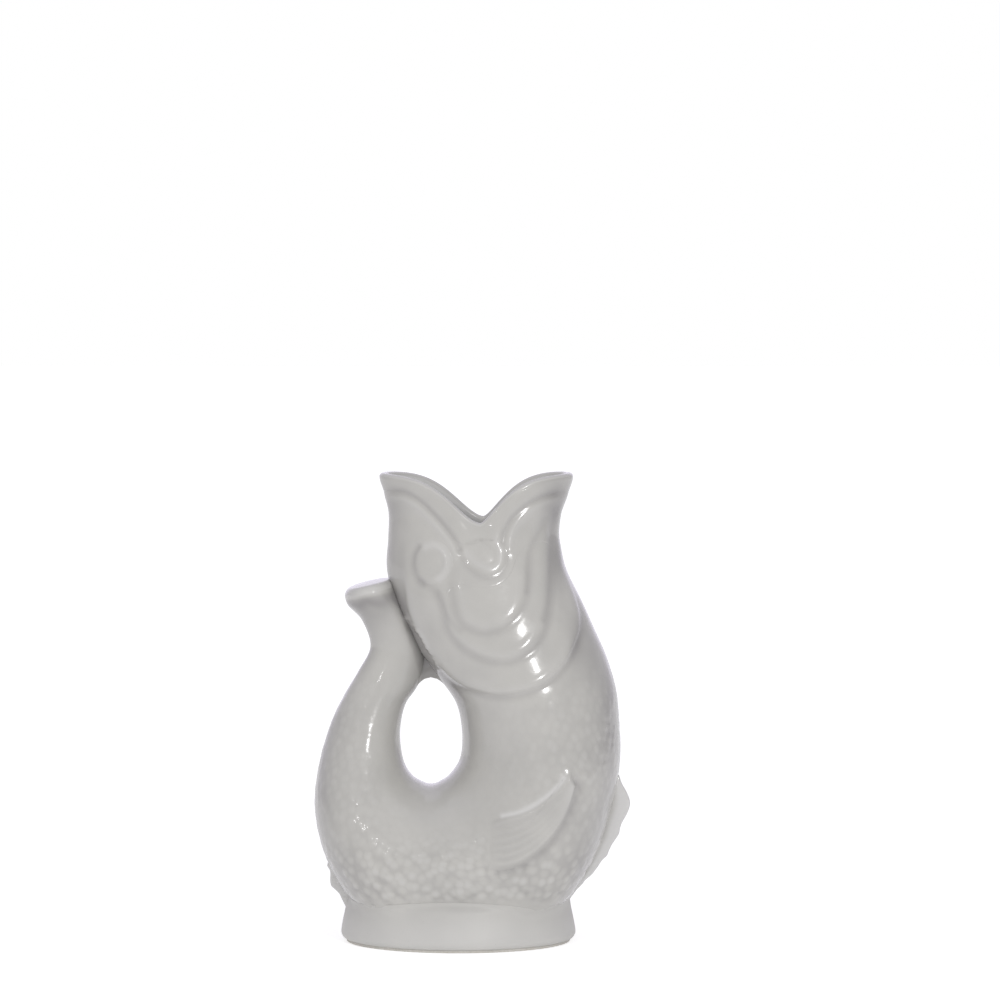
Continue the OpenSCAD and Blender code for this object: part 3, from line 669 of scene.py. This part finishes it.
def scale_strength(px):
    """How strongly the scales show, from the smooth head to the rough lower body."""
    x, y = px[..., 0], px[..., 1]
    low = ramp(y, *SCALE_LOW)
    front = SCALE_FRONT * ramp(x, *FRONT_COLUMNS) * ramp(y, *FRONT_ROWS)
    back = SCALE_TAIL * ramp(x, *BACK_COLUMNS) * ramp(y, *BACK_ROWS)
    most = np.maximum(low, np.maximum(front, back))
    strength = (SCALE_LEAST + (1 - SCALE_LEAST) * most) * ramp(y, *SCALE_TOP)
    for name, gap in SCALE_GAPS.items():
        strength = strength * ramp(-signed_distance(px, LINES[name]), *gap)
    return strength * (1 - 0.85 * ramp(y, *SCALE_END))


def painted_shade_and_light(px, normals):
    """Painted shade in the crevice, partly its duller slip, and beside the finger hole, with soft patches of
    painted shade and painted light on the flank.
    """
    facing = ramp(np.abs(normals[..., 1]), 0.06, 0.38)
    fade = 1 - ramp(px[..., 1], *HOLE_SHADE_FADE)
    tone = strokes(px, CREVICE_SLIP_AND_PAINTED_SHADE) + facing * fade * strokes(px, HOLE_PAINTED_SHADE)
    for x, y, wide, high, amount in PAINTED_SHADE_AND_LIGHT_PATCHES:
        away = ((px[..., 0] - x) / wide) ** 2 + ((px[..., 1] - y) / high) ** 2
        tone = tone + amount * facing * np.exp(-away)
    return tone


def relief(points, normals):
    """Height of the carving over the skin, and the glaze's tone from -1 to 1: lighter for thin glaze and
    painted light, darker for thicker glaze and painted shade.
    """
    px = project(points)
    raised, cut, tone = 0, 0, 0
    for part in (lip_relief, lobe_relief, eye_relief, gill_relief, pectoral_relief, crevice_relief):
        up, down, *own_tone = part(px)
        raised, cut, tone = raised + up, cut + down, tone + sum(own_tone)
    waves = strokes(px, WAVE_STROKES)
    strength = scale_strength(px)
    scales = np.zeros(strength.shape)
    shown = strength > 0.01
    scales[shown] = scale_height(points[shown], normals[shown])
    lumps = sum(height * value_noise(points, cell, seed) for height, cell, seed in LUMPS)
    height = raised - cut - waves + SCALE_RISE * strength * (scales - SCALE_MIDDLE) + lumps
    tone = tone + painted_shade_and_light(px, normals) - strokes(px, RIDGE_THIN_GLAZE_AND_PAINTED_LIGHT)
    base, share = SCALE_POOL
    glaze_tone_and_painted_light = CUT_POOL * cut + WAVE_POOL * waves + tone + strength * (base - share * scales)
    return height, np.clip(glaze_tone_and_painted_light, -1, 1)


def sprig_sink(px, u):
    """How far the shell draws back under the sprigs, so that each shows as its own piece."""
    inside = np.maximum.reduce([signed_distance(px, LINES[name]) for name in ("lobe", "gill", "pectoral")])
    eye = EYE_OUTER - radius(px, EYE_MIDDLE)
    lip = signed_distance(px, LINES["lip"]) * (u > LIP_SINK_START)
    return SPRIG_SINK * ramp(np.maximum.reduce([inside, eye, lip]), 0.0, 2.2)


def skin_and_relief(u, v):
    """Points and normals of the skin at stations u and angles v, with the relief's height and tone."""
    u, v = np.broadcast_arrays(np.asarray(u, float), np.asarray(v, float))
    points, normals = skin(u, v), skin_normals(u, v)
    height, glaze_tone_and_painted_light = relief(points.reshape(-1, 3), normals.reshape(-1, 3))
    return points, normals, height.reshape(u.shape), glaze_tone_and_painted_light.reshape(u.shape)


def carved(u, v, sink=True):
    """Carved skin at stations u and angles v of any shape, and the glaze pooled on it."""
    points, normals, height, glaze_tone_and_painted_light = skin_and_relief(u, v)
    if sink:
        height = height - sprig_sink(project(points), u)
    return points + normals * height[..., None], glaze_tone_and_painted_light


# Shader nodes
def add(tree, kind, inputs=(), **settings):
    """A new shader node with its settings, whose inputs are given as sockets to link, colours or numbers."""
    node = tree.nodes.new("ShaderNode" + kind)
    for key, value in settings.items():
        setattr(node, key, value)
    for key, value in dict(inputs).items():
        plug(tree, node.inputs[key], value)
    return node


def plug(tree, socket, value):
    """Link a socket to another, or give it a colour or a number."""
    if isinstance(value, bpy.types.NodeSocket):
        tree.links.new(value, socket)
    else:
        socket.default_value = (*value, 1) if isinstance(value, tuple) else value


def coordinates(tree, kind):
    """Places on a surface, or directions in the world."""
    return add(tree, "TexCoord").outputs[kind]


def noise(tree, coords, scale, detail):
    """Cloudy noise from 0 to 1."""
    return add(tree, "TexNoise", {"Vector": coords, "Scale": scale, "Detail": detail}).outputs["Fac"]


def colours(tree, value, stops):
    """A colour ramp through stops given as places from low to high with their colours."""
    node = add(tree, "ValToRGB", {"Fac": value})
    for place, _ in stops[1:-1]:
        node.color_ramp.elements.new(place)
    for element, (place, colour) in zip(node.color_ramp.elements, stops):
        element.position, element.color = place, (*colour, 1)
    return node.outputs["Color"]


def span(tree, value, low, high, start=0.0, end=1.0):
    """The value's range from start to end, spread over low to high."""
    limits = {"From Min": start, "From Max": end, "To Min": low, "To Max": high}
    return add(tree, "MapRange", {"Value": value, **limits}).outputs["Result"]


def blend(tree, factor, first, second, kind="MIX"):
    """Two colours mixed by a factor."""
    inputs = {0: factor, 6: first, 7: second}
    return add(tree, "Mix", inputs, data_type="RGBA", blend_type=kind).outputs[2]


def ripples(tree, height, distance, strength):
    """A normal that follows a fine height."""
    return add(tree, "Bump", {"Height": height, "Distance": distance, "Strength": strength}).outputs["Normal"]


def new_material(name):
    """A material and its tree of shader nodes."""
    material = bpy.data.materials.new(name)
    material.use_nodes = True
    return material, material.node_tree


# Materials
def glaze_material(name, roughness, coat):
    """Pale warm grey glaze: clouded, darker where it pools and where shade is painted, lighter where it lies
    thin and where light is painted, faintly specked, glossy with soft ripples.
    """
    material, tree = new_material(name)
    coords = coordinates(tree, "Object")
    glaze_tone_and_painted_light = add(tree, "Attribute", attribute_name="glaze_tone_and_painted_light").outputs["Fac"]
    # The tone's positive side darkens the glaze for pooling and for painted shade; its negative side lightens
    # it for thin glaze and for painted light
    deep = add(tree, "Clamp", {"Value": glaze_tone_and_painted_light}).outputs[0]
    negated_glaze_tone = add(tree, "Math", {0: glaze_tone_and_painted_light, 1: -1.0}, operation="MULTIPLY").outputs[0]
    thin = add(tree, "Clamp", {"Value": negated_glaze_tone}).outputs[0]
    specks = span(tree, noise(tree, coords, 1500.0, 1.0), 0.0, 0.35, 0.72, 0.80)
    tone = colours(tree, noise(tree, coords, 38.0, 4.0), [(0.30, GLAZE_DARK), (0.70, GLAZE_LIGHT)])
    tone = blend(tree, deep, tone, blend(tree, 1.0, tone, GLAZE_POOLED_AND_PAINTED_SHADE, "MULTIPLY"))
    tone = blend(tree, thin, tone, GLAZE_THIN_AND_PAINTED_LIGHT)
    tone = blend(tree, specks, tone, SPECK)
    shader = tree.nodes["Principled BSDF"]
    plug(tree, shader.inputs["Base Color"], tone)
    plug(tree, shader.inputs["Roughness"], span(tree, noise(tree, coords, 120.0, 3.0), *roughness))
    plug(tree, shader.inputs["Normal"], ripples(tree, noise(tree, coords, 210.0, 2.0), 0.00035, 0.25))
    shader.inputs["IOR"].default_value = 1.5
    shader.inputs["Coat Weight"].default_value = coat
    shader.inputs["Coat Roughness"].default_value = 0.06
    return material


def clay_material():
    """Bare fired clay: matt, grainy and slightly stained."""
    material, tree = new_material("bare_clay")
    coords = coordinates(tree, "Object")
    grain = noise(tree, coords, 900.0, 6.0)
    tone = colours(tree, noise(tree, coords, 60.0, 5.0), [(0.3, CLAY_DARK), (0.7, CLAY_LIGHT)])
    shader = tree.nodes["Principled BSDF"]
    plug(tree, shader.inputs["Base Color"], blend(tree, 0.25, tone, grain, "OVERLAY"))
    plug(tree, shader.inputs["Normal"], ripples(tree, grain, 0.0003, 0.6))
    shader.inputs["Roughness"].default_value = 0.85
    return material


GLAZE = glaze_material("pale_grey_glaze", (0.13, 0.24), 0.35)
FOOT_GLAZE = glaze_material("duller_glaze_on_the_foot", (0.42, 0.50), 0.0)
BARE_CLAY = clay_material()


# Meshes
def grid_faces(rows, cols, wrap_rows=False):
    """Quads of a grid whose rows close on themselves."""
    i = np.arange(rows if wrap_rows else rows - 1)[:, None]
    j = np.arange(cols)[None, :]
    nxt, beside = (i + 1) % rows, (j + 1) % cols
    quads = np.stack([i * cols + j, nxt * cols + j, nxt * cols + beside, i * cols + beside], -1)
    return quads.reshape(-1, 4)


def turn_outward(mesh):
    """Turn the faces of a closed mesh the same way, with their normals outward."""
    work = bmesh.new()
    work.from_mesh(mesh)
    bmesh.ops.recalc_face_normals(work, faces=work.faces)
    if work.calc_volume(signed=True) < 0:
        bmesh.ops.reverse_faces(work, faces=work.faces)
    work.to_mesh(mesh)
    work.free()


def set_normals(mesh, index, values):
    """Give the numbered vertices of a mesh other normals than its own."""
    normals = np.zeros(len(mesh.vertices) * 3, np.float32)
    mesh.vertices.foreach_get("normal", normals)
    normals = normals.reshape(-1, 3)
    normals[index] = values
    mesh.normals_split_custom_set_from_vertices(normals.tolist())


def make_piece(name, vertices, faces, glaze_tone_and_painted_light, material=GLAZE, ring_normals=None):
    """A smooth closed mesh in the frame that stands for the CAD node of the same name.

    The glaze's tone is given at each vertex, with painted shade and painted light in it. Ring normals, as
    vertex numbers and values, replace the mesh's own where two pieces meet without a seam.
    """
    places = (np.asarray(vertices) - [FOOT_TO_MIDDLE, 0, 0]) * MM
    mesh = bpy.data.meshes.new(name)
    mesh.from_pydata(places.tolist(), [], faces)
    turn_outward(mesh)
    mesh.polygons.foreach_set("use_smooth", [True] * len(mesh.polygons))
    mesh.attributes.new("glaze_tone_and_painted_light", "FLOAT", "POINT").data.foreach_set("value", np.ravel(glaze_tone_and_painted_light).astype(float))
    mesh.update()
    if ring_normals is not None:
        set_normals(mesh, *ring_normals)
    piece = bpy.data.objects.new(name, mesh)
    bpy.context.scene.collection.objects.link(piece)
    mesh.materials.append(material)
    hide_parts(name)
    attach(piece, "root")


def ring_piece(name, grid, glaze_tone_and_painted_light, material=GLAZE, ring_normals=None):
    """A piece whose grid closes on itself both ways."""
    faces = grid_faces(*grid.shape[:2], wrap_rows=True).tolist()
    make_piece(name, grid.reshape(-1, 3), faces, glaze_tone_and_painted_light, material, ring_normals)


def end_rows(grid):
    """Vertex numbers of a grid's first and last row."""
    rows, cols = grid.shape[:2]
    return list(range(cols)), list(range((rows - 1) * cols, rows * cols))


def capped_piece(name, grid, glaze_tone_and_painted_light, middles=None, end_glaze_tone=(0, 0), reverse=False, ring_normals=None):
    """A glazed piece from a grid of closed rows, whose two ends are closed by fans round their middles."""
    rows, cols = grid.shape[:2]
    if middles is None:
        middles = [grid[0].mean(axis=0), grid[-1].mean(axis=0)]
    faces = grid_faces(rows, cols)[:, ::-1 if reverse else 1].tolist()
    for middle, ring in enumerate(end_rows(grid), start=rows * cols):
        faces += [(a, b, middle) for a, b in zip(ring, ring[1:] + ring[:1])]
    make_piece(name, np.vstack([grid.reshape(-1, 3), middles]), faces, np.append(glaze_tone_and_painted_light, end_glaze_tone),
               ring_normals=ring_normals)


def arc_stations(start, end, count, angle=60.0):
    """Stations whose sections are evenly spaced along the flank."""
    fine = np.linspace(start, end, 1500)
    arc = arc_length(skin(fine, angle))
    return np.interp(np.linspace(0, arc[-1], count), arc, fine)


def joint_normals(station):
    """Outward normals of the carved skin round a station where two pieces meet."""
    nearby = np.array([station - 0.04, station, station + 0.04])[:, None]
    before, here, after = carved(nearby, ANGLES)[0]
    return unit(np.cross(after - before, np.roll(here, -1, axis=0) - np.roll(here, 1, axis=0)))


# Body and tail
def fish_shell():
    """The cast wall from the rim to the root of the tail, with its rounded rim and its inside."""
    outer, glaze_tone_and_painted_light = carved(arc_stations(SHELL_END, 0, SHELL_ROWS)[:, None], ANGLES)
    inner = skin(arc_stations(0, SHELL_END, INNER_ROWS)[:, None], ANGLES, -WALL)
    turn = np.radians(np.linspace(0, 180, RIM_ROWS + 2)[1:-1])[:, None, None]
    middle, half = (outer[-1] + inner[0]) / 2, (outer[-1] - inner[0]) / 2
    rim = middle + half * np.cos(turn) + np.array([0, 0, RIM_CROWN]) * np.sin(turn)
    # The rim and the inside of the mouth are painted lighter: painted light
    tone = np.concatenate([glaze_tone_and_painted_light, np.full(rim.shape[:2], -0.25), np.full(inner.shape[:2], -0.9)])
    ring_piece("fish_shell", np.concatenate([outer, rim, inner]), tone,
               ring_normals=(np.arange(COLUMNS), joint_normals(SHELL_END)))


def tail_handle():
    """The hollow tail from its root to the neck of the tail fin."""
    hollow = skin(arc_stations(TAIL_HOLLOW_END, SHELL_END, HOLLOW_ROWS)[:, None], ANGLES, -WALL)
    outer, glaze_tone_and_painted_light = carved(arc_stations(SHELL_END, TAIL_END, TAIL_ROWS)[:, None], ANGLES, sink=False)
    grid = np.concatenate([hollow, outer])
    joint = np.arange(len(hollow) * COLUMNS, (len(hollow) + 1) * COLUMNS)
    ends = np.concatenate([joint, end_rows(grid)[1]])
    normals = np.vstack([joint_normals(SHELL_END), joint_normals(TAIL_END)])
    capped_piece("tail_handle", grid, np.concatenate([np.zeros(hollow.shape[:2]), glaze_tone_and_painted_light]), reverse=True,
                 ring_normals=(ends, normals))


def rolled_end(end):
    """Rows that round the tail fin's edge over to its slightly crowned face, and the way the face looks."""
    centre = end.mean(axis=0)
    face = unit(np.cross(end[0] - end[COLUMNS // 2], [0, 1, 0]))
    face = face * np.sign(face[2])
    inward = unit(centre - end)
    turns = np.radians(np.linspace(0, 90, 13)[1:])
    rim = [end + FLUKE_ROLL * (inward * (1 - math.cos(a)) + face * math.sin(a)) for a in turns]
    flat = rim[-1] - centre - face * FLUKE_ROLL
    cap = [centre + flat * k + face * (FLUKE_ROLL + FLUKE_CROWN * (1 - k ** 2))
           for k in np.linspace(0.94, 0.06, 14)]
    return np.array(rim + cap), face


def tail_fluke():
    """The flared tail fin with a thick rounded end, a little scalloped below its edge."""
    stations = arc_stations(TAIL_END, FLUKE_END - FLUKE_SHORT, FLUKE_ROWS, 200.0)[:, None]
    outer, glaze_tone_and_painted_light = carved(stations, ANGLES, sink=False)
    v = np.radians(ANGLES)
    waves = 0.5 + 0.5 * np.cos(SCALLOPS * v + 0.8 * np.sin(2 * v))
    under = bump(stations - SCALLOP_STATION - 0.16 * waves, 0.34)
    away = unit(outer - outer.mean(axis=1, keepdims=True))
    outer = outer - away * (SCALLOP_DEPTH * under)[..., None]
    # Painted shade under the scallops; painted light near the end of the tail fin and on its rolled edge and
    # face
    glaze_tone_and_painted_light = glaze_tone_and_painted_light + 0.55 * under - 0.5 * ramp(stations, 26.3, 26.5)
    edge, face = rolled_end(outer[-1])
    grid = np.concatenate([outer, edge])
    tone = np.concatenate([glaze_tone_and_painted_light, np.full(edge.shape[:2], -0.35)])
    middles = [grid[0].mean(axis=0), grid[-1].mean(axis=0) + face * 0.02]
    capped_piece("tail_fluke", grid, tone, middles, reverse=True,
                 ring_normals=(end_rows(grid)[0], joint_normals(TAIL_END)))


def rounded(wave):
    """A cosine or sine squared up, for a section with blunt corners."""
    return np.sign(wave) * np.abs(wave) ** 0.6


def slip_seam():
    """The slip smeared between the tail and the head, which ends as an arch over the finger hole."""
    table = smooth_line(SEAM_LINE, 12)
    line = middle_plane(table[:, :2])[:, [0, 2]]
    step = unit(np.gradient(line, axis=0))
    step[0] = (0, 1)
    across = np.stack([step[:, 1], -step[:, 0]], -1)
    along = np.linspace(0, 1, len(line))
    taper = np.sqrt(np.clip((1 - along) / 0.06, 0.02, 1))
    angles = np.radians(np.arange(SEAM_COLUMNS) * 360 / SEAM_COLUMNS)
    side = rounded(np.cos(angles))
    deep = rounded(np.sin(angles)) * (0.86 + 0.90 * side ** 2)
    first_face = [(0, share) for share in (0.15, 0.35, 0.55, 0.75, 0.9)]
    rows, tone = [], []
    for k, share in first_face + [(k, 1.0) for k in range(len(line))]:
        t, reach = along[k], np.abs(side * share)
        size = (1 + 0.06 * math.sin(17 * t) + 0.04 * math.sin(41 * t + 1)) * taper[k] * share
        arch = SEAM_ARCH * (1 - ramp(t, 0, ARCH_END)) * np.minimum(reach / ARCH_WIDTH, 1) ** 2
        flat = line[k] + np.outer(side * table[k, 2] * size, across[k]) - np.outer(arch, step[k])
        rows.append(np.stack([flat[:, 0], deep * SEAM_HALF_DEPTH * size, flat[:, 1]], -1))
        # Darker over the seam: painted shade, partly the duller slip; its first rows under the arch are
        # painted lighter: painted light
        edge = 1 - 0.5 * ramp(reach, 0.30, 0.60) * (1 - ramp(t, 0.1, 0.4))
        slip_and_painted_shade = edge * ramp(t, 0.01, 0.05) * (0.45 + 0.55 * ramp(t, 0.08, 0.40))
        tone.append(slip_and_painted_shade - 0.6 * (1 - ramp(t, 0.0, 0.035)))
    capped_piece("slip_seam", np.array(rows), tone)


# Sprigs
def ring_sprig(name, outline, middle, size, far):
    """A thin closed plate with the given outline, laid on the flank, whose edge dips into the shell."""
    rows, cols = size
    edge = evenly(closed_line(outline, 8), cols + 1)[:-1]
    centre = np.array(middle, float)
    reach = np.linalg.norm(edge - centre, axis=1)
    spread = np.linspace(0, 1, rows)[1:, None] ** 0.8 * (1 + SPRIG_MARGIN / reach)
    places = centre + (edge - centre) * spread[..., None]
    points, normals, height, glaze_tone_and_painted_light = skin_and_relief(*skin_at_pixels(places))
    beyond = np.maximum((spread - 1) * reach, 0)
    height = height + SPRIG_LIFT - SPRIG_DIP * ramp(beyond, 0.0, SPRIG_MARGIN)
    top = points + normals * height[..., None]
    under = (points - normals * SPRIG_DEPTH)[::-1][::3]
    mid, normal, mid_height, mid_glaze_tone = skin_and_relief(*skin_at_pixels(centre[None]))
    middles = np.vstack([mid + normal * (mid_height + SPRIG_LIFT)[:, None], mid - normal * SPRIG_DEPTH])
    side = [1, -1, 1] if far else [1, 1, 1]
    grid, tone = np.concatenate([top, under]) * side, np.append(glaze_tone_and_painted_light, np.zeros(under.shape[:2]))
    capped_piece(name, grid, tone, middles * side, (mid_glaze_tone[0], 0), reverse=far)


def lip(name, start, end):
    """A rolled lip between two angles round the mouth, from the rim to its groove."""
    rows, cols = LIP_SIZE
    v = np.linspace(start, end, cols)
    down = np.linspace(LIP_TOP, LIP_BOTTOM, 80)
    outside = signed_distance(project(skin(down[:, None], v)), LINES["lip"]) < -2.8
    foot = running_mean(first_hit(down, outside), 4, "edge")
    t = np.linspace(0, 1, rows)[:, None]
    points, normals, height, glaze_tone_and_painted_light = skin_and_relief(LIP_TOP + (foot - LIP_TOP) * t, v)
    inside = signed_distance(project(points), LINES["lip"])
    dip = SPRIG_DIP * ramp(-inside, 0, 2.4) + 0.5 * ramp(-t, -0.05, 0)
    top = points + normals * (height + SPRIG_LIFT - dip)[..., None]
    grid = np.swapaxes(np.concatenate([top, (points - normals * SPRIG_DEPTH)[::-1]]), 0, 1)
    tone = np.swapaxes(np.concatenate([glaze_tone_and_painted_light, np.zeros(glaze_tone_and_painted_light.shape)]), 0, 1)
    seen = slice(2, rows - 2)
    smooth = unit(np.cross(np.gradient(top, axis=0), np.gradient(top, axis=1)))
    ends = np.concatenate([row[seen] for row in end_rows(grid)])
    capped_piece(name, grid, tone, ring_normals=(ends, np.vstack([smooth[seen, 0], smooth[seen, -1]])))


def midline_fin(name, stations, edge_pixels, rays):
    """A thin fin on the fish's midline, from the skin to its wavy edge, with shallow rays."""
    rows, cols = FIN_SIZE
    edge = evenly(middle_plane(smooth_line(edge_pixels, 8)), rows)
    root = evenly(skin(np.linspace(*stations, 400), 0.0), rows)
    root = root + unit(root - edge) * FIN_ROOT_DEPTH
    along = np.linspace(0, 1, rows)
    across = np.linspace(-1, 1, cols)
    outward = 1 - np.abs(across)
    section = np.sign(across) * (1 - 0.62 * outward) * np.sqrt(np.clip(1 - outward ** 8, 0, 1))
    ends = np.sqrt(np.clip(np.minimum(along, 1 - along) / 0.04, 0.03, 1))
    turn = 2 * math.pi * rays * along
    ridges = 1 + 0.07 * np.cos(turn) + 0.03 * np.cos(2.3 * turn + 1)
    grid = root[:, None] + (edge - root)[:, None] * outward[:, None]
    grid[..., 1] += FIN_THICKNESS / 2 * (ends * ridges)[:, None] * section
    capped_piece(name, grid, np.tile(-0.9 * ramp(outward, 0.2, 0.6), (rows, 1)))


# Foot
def oval_rows(profile):
    """Rings of the oval foot from a profile of inset and height."""
    a = np.radians(np.arange(FOOT_COLUMNS) * 360 / FOOT_COLUMNS)
    return np.array([np.stack([(FOOT_LENGTH / 2 - inset) * np.cos(a), (FOOT_DEPTH / 2 - inset) * np.sin(a),
                               np.full(FOOT_COLUMNS, z)], -1) for inset, z in profile])


def body_reach(turns):
    """How far the body reaches from the foot's axis at each millimetre of height, in each direction."""
    u, v = np.meshgrid(np.linspace(*FOOT_STATIONS, 900), np.arange(0, 360, 0.5), indexing="ij")
    flat = skin(u, v).reshape(-1, 3)
    low, high = (int(z) for z in WALL_HEIGHTS)
    flat = flat[(flat[:, 2] > low) & (flat[:, 2] < high)]
    level = (flat[:, 2] - low).astype(int)
    width = 360 / SECTORS
    sector = ((np.degrees(np.arctan2(flat[:, 1], flat[:, 0])) % 360) / width).astype(int) % SECTORS
    total, count = np.zeros((high - low, SECTORS)), np.zeros((high - low, SECTORS))
    np.add.at(total, (level, sector), np.linalg.norm(flat[:, :2], axis=1))
    np.add.at(count, (level, sector), 1)
    table = total / np.maximum(count, 1)
    blur = ((-2, 0.1), (-1, 0.2), (0, 0.4), (1, 0.2), (2, 0.1))
    table = sum(np.roll(table, k, axis=1) * share for k, share in blur)
    place = ((np.degrees(turns) % 360) / width - 0.5) % SECTORS
    return np.array([np.interp(place, np.arange(SECTORS + 1), np.append(row, row[0])) for row in table])


def wall_inset(z):
    """How far the foot's wall leans in at each height."""
    start, rate, power = WALL_TURN
    lean = FOOT_FLARE * (np.maximum(z - FOOT_CORNER, 0) / (FOOT_HEIGHT - FOOT_CORNER)) ** WALL_LEAN
    return lean + rate * np.maximum(z - start, 0) ** power


def foot_wall(turns, foot):
    """Rows of the wall from inside the body down to the lower corner, with a soft fillet at the body."""
    low, high = WALL_HEIGHTS
    heights = np.arange(low, high) + 0.5
    body = body_reach(turns)
    inside = body - (foot - wall_inset(heights)[:, None]) > FILLET_END
    top = running_mean(first_hit(heights, inside), 12, "wrap")
    rows = []
    for t in np.linspace(0, 1, WALL_ROWS):
        z = top + (FOOT_CORNER - top) * t
        there = np.array([np.interp(h, heights, column, left=0) for h, column in zip(z, body.T)])
        plain = foot - wall_inset(z)
        reach = np.maximum(plain, there) + FILLET * np.log1p(np.exp(-np.abs(plain - there) / FILLET))
        reach = plain + (reach - plain) * ramp(z, low, low + 4.0)
        rows.append(np.stack([reach * np.cos(turns), reach * np.sin(turns), z], -1))
    hidden = rows[0] * [0.95, 0.95, 1]
    return np.array([hidden] + rows)


def foot_plinth():
    """The glazed foot: a wall that rises to the body, a round lower corner and a plain inside."""
    inner = CONTACT_INSET + CONTACT_WIDTH
    drop = FOOT_CORNER - BARE_HEIGHT
    profile = [(0.0, FOOT_CORNER)]
    for a in np.radians(np.linspace(8, 90, 11)):
        profile.append((CONTACT_INSET * (1 - math.cos(a)), FOOT_CORNER - drop * math.sin(a)))
    profile += [(inner, BARE_HEIGHT), (inner, (BARE_HEIGHT + FOOT_HEIGHT) / 2), (inner, FOOT_HEIGHT)]
    side = oval_rows(profile)
    wall = foot_wall(np.arctan2(side[0, :, 1], side[0, :, 0]), np.linalg.norm(side[0, :, :2], axis=1))
    grid = np.concatenate([wall, side[1:]])
    height, size, seed = FOOT_WOBBLE
    grid[..., 0] += height * value_noise(grid, size, seed) * np.sign(grid[..., 0])
    # The foot's glaze is painted lighter, and more so towards its lower corner: painted light
    ring_piece("foot_plinth", grid, -0.15 - 0.30 * ramp(-grid[..., 2], -24, -6), FOOT_GLAZE)


def foot_rim():
    """The bare clay ring that touches the table, with softened corners."""
    edge, low, high = BARE_EDGE, CONTACT_INSET, CONTACT_INSET + CONTACT_WIDTH
    grid = oval_rows([(low + 0.02, BARE_HEIGHT), (low, BARE_HEIGHT - edge), (low, edge),
                      (low + edge / 3, edge / 3), (low + edge, 0), (high - edge, 0),
                      (high - edge / 3, edge / 3), (high, edge), (high, BARE_HEIGHT)])
    ring_piece("foot_rim", grid, np.zeros(grid.shape[:2]), BARE_CLAY)


# Studio
def place_in_scene(name, data):
    """A new object in the scene."""
    thing = bpy.data.objects.new(name, data)
    bpy.context.scene.collection.objects.link(thing)
    return thing


def camera():
    """The camera that took the photograph, turned about the foot's axis."""
    data = bpy.data.cameras.new("camera")
    data.sensor_width = SENSOR_WIDTH
    data.lens = FOCAL_PIXELS * SENSOR_WIDTH / IMAGE_SIDE
    data.clip_end = 60
    cam = place_in_scene("camera", data)
    foot = Vector((-FOOT_TO_MIDDLE * MM, 0, 0))
    cam.location = foot + Matrix.Rotation(CAMERA_TURN, 3, "Z") @ (Vector(CAMERA_PLACE) - foot)
    cam.rotation_euler = (math.pi / 2 - CAMERA_PITCH, 0, CAMERA_TURN)
    bpy.context.scene.camera = cam


def softbox(name, place, size, power):
    """A rectangular lamp that faces the middle of the jug."""
    data = bpy.data.lights.new(name, "AREA")
    data.shape = "RECTANGLE"
    data.size, data.size_y = size
    data.energy = power
    lamp = place_in_scene(name, data)
    lamp.location = place
    lamp.rotation_euler = (Vector(LAMP_TARGET) - Vector(place)).to_track_quat("-Z", "Y").to_euler()


def white_world():
    """White to the camera; to the jug a pale tent, bright and slightly violet above and behind."""
    world = bpy.data.worlds.new("tent")
    bpy.context.scene.world = world
    world.use_nodes = True
    tree = world.node_tree
    tree.nodes.clear()
    direction = add(tree, "SeparateXYZ", {0: coordinates(tree, "Generated")}).outputs
    height = colours(tree, span(tree, direction["Z"], 0.0, 1.0, 0.45), [(0.0, TENT_LOW), (1.0, TENT_HIGH)])
    turn = colours(tree, span(tree, direction["Y"], 0.0, 1.0, -1.0), TENT_ROUND)
    rightward = span(tree, direction["X"], 1.0, TENT_RIGHT, 0.15)
    tone = blend(tree, 1.0, height, blend(tree, 1.0, turn, rightward, "MULTIPLY"), "MULTIPLY")
    tent = add(tree, "Background", {"Color": tone, "Strength": TENT_STRENGTH}).outputs[0]
    white = add(tree, "Background", {"Color": (1, 1, 1)}).outputs[0]
    seen = add(tree, "LightPath").outputs["Is Camera Ray"]
    add(tree, "OutputWorld", {0: add(tree, "MixShader", {0: seen, 1: tent, 2: white}).outputs[0]})


def floor():
    """A white floor that keeps a faint contact shadow."""
    mesh = bpy.data.meshes.new("floor")
    side = FLOOR_SIDE
    corners = [(-side, -side, 0), (side, -side, 0), (side, side, 0), (-side, side, 0)]
    mesh.from_pydata(corners, [], [(0, 1, 2, 3)])
    material, tree = new_material("white_floor")
    tree.nodes.remove(tree.nodes["Principled BSDF"])
    diffuse = add(tree, "BsdfDiffuse", {"Color": FLOOR_TONE}).outputs[0]
    level = span(tree, add(tree, "LightPath").outputs["Is Camera Ray"], FLOOR_BOUNCE, FLOOR_GLOW)
    glow = add(tree, "Emission", {"Strength": level}).outputs[0]
    shader = add(tree, "AddShader", {0: diffuse, 1: glow}).outputs[0]
    plug(tree, tree.nodes["Material Output"].inputs[0], shader)
    mesh.materials.append(material)
    place_in_scene("floor", mesh)


camera()
fish_shell()
tail_handle()
tail_fluke()
slip_seam()
foot_plinth()
foot_rim()
lip("upper_lip", 90, 270)
lip("lower_lip", -90, 90)
for side in ("right", "left"):
    for name, (outline, middle, size) in FLANK_SPRIGS.items():
        ring_sprig(f"{name}_{side}", outline, middle, size, far=side == "left")
midline_fin("belly_fin", BELLY_FIN_STATIONS, BELLY_FIN_EDGE, rays=7)
midline_fin("anal_fin", ANAL_FIN_STATIONS, ANAL_FIN_EDGE, rays=5)

white_world()
floor()
softbox(*KEY_LAMP)
softbox(*SECOND_LAMP)
bpy.context.scene.view_settings.view_transform = "Standard"
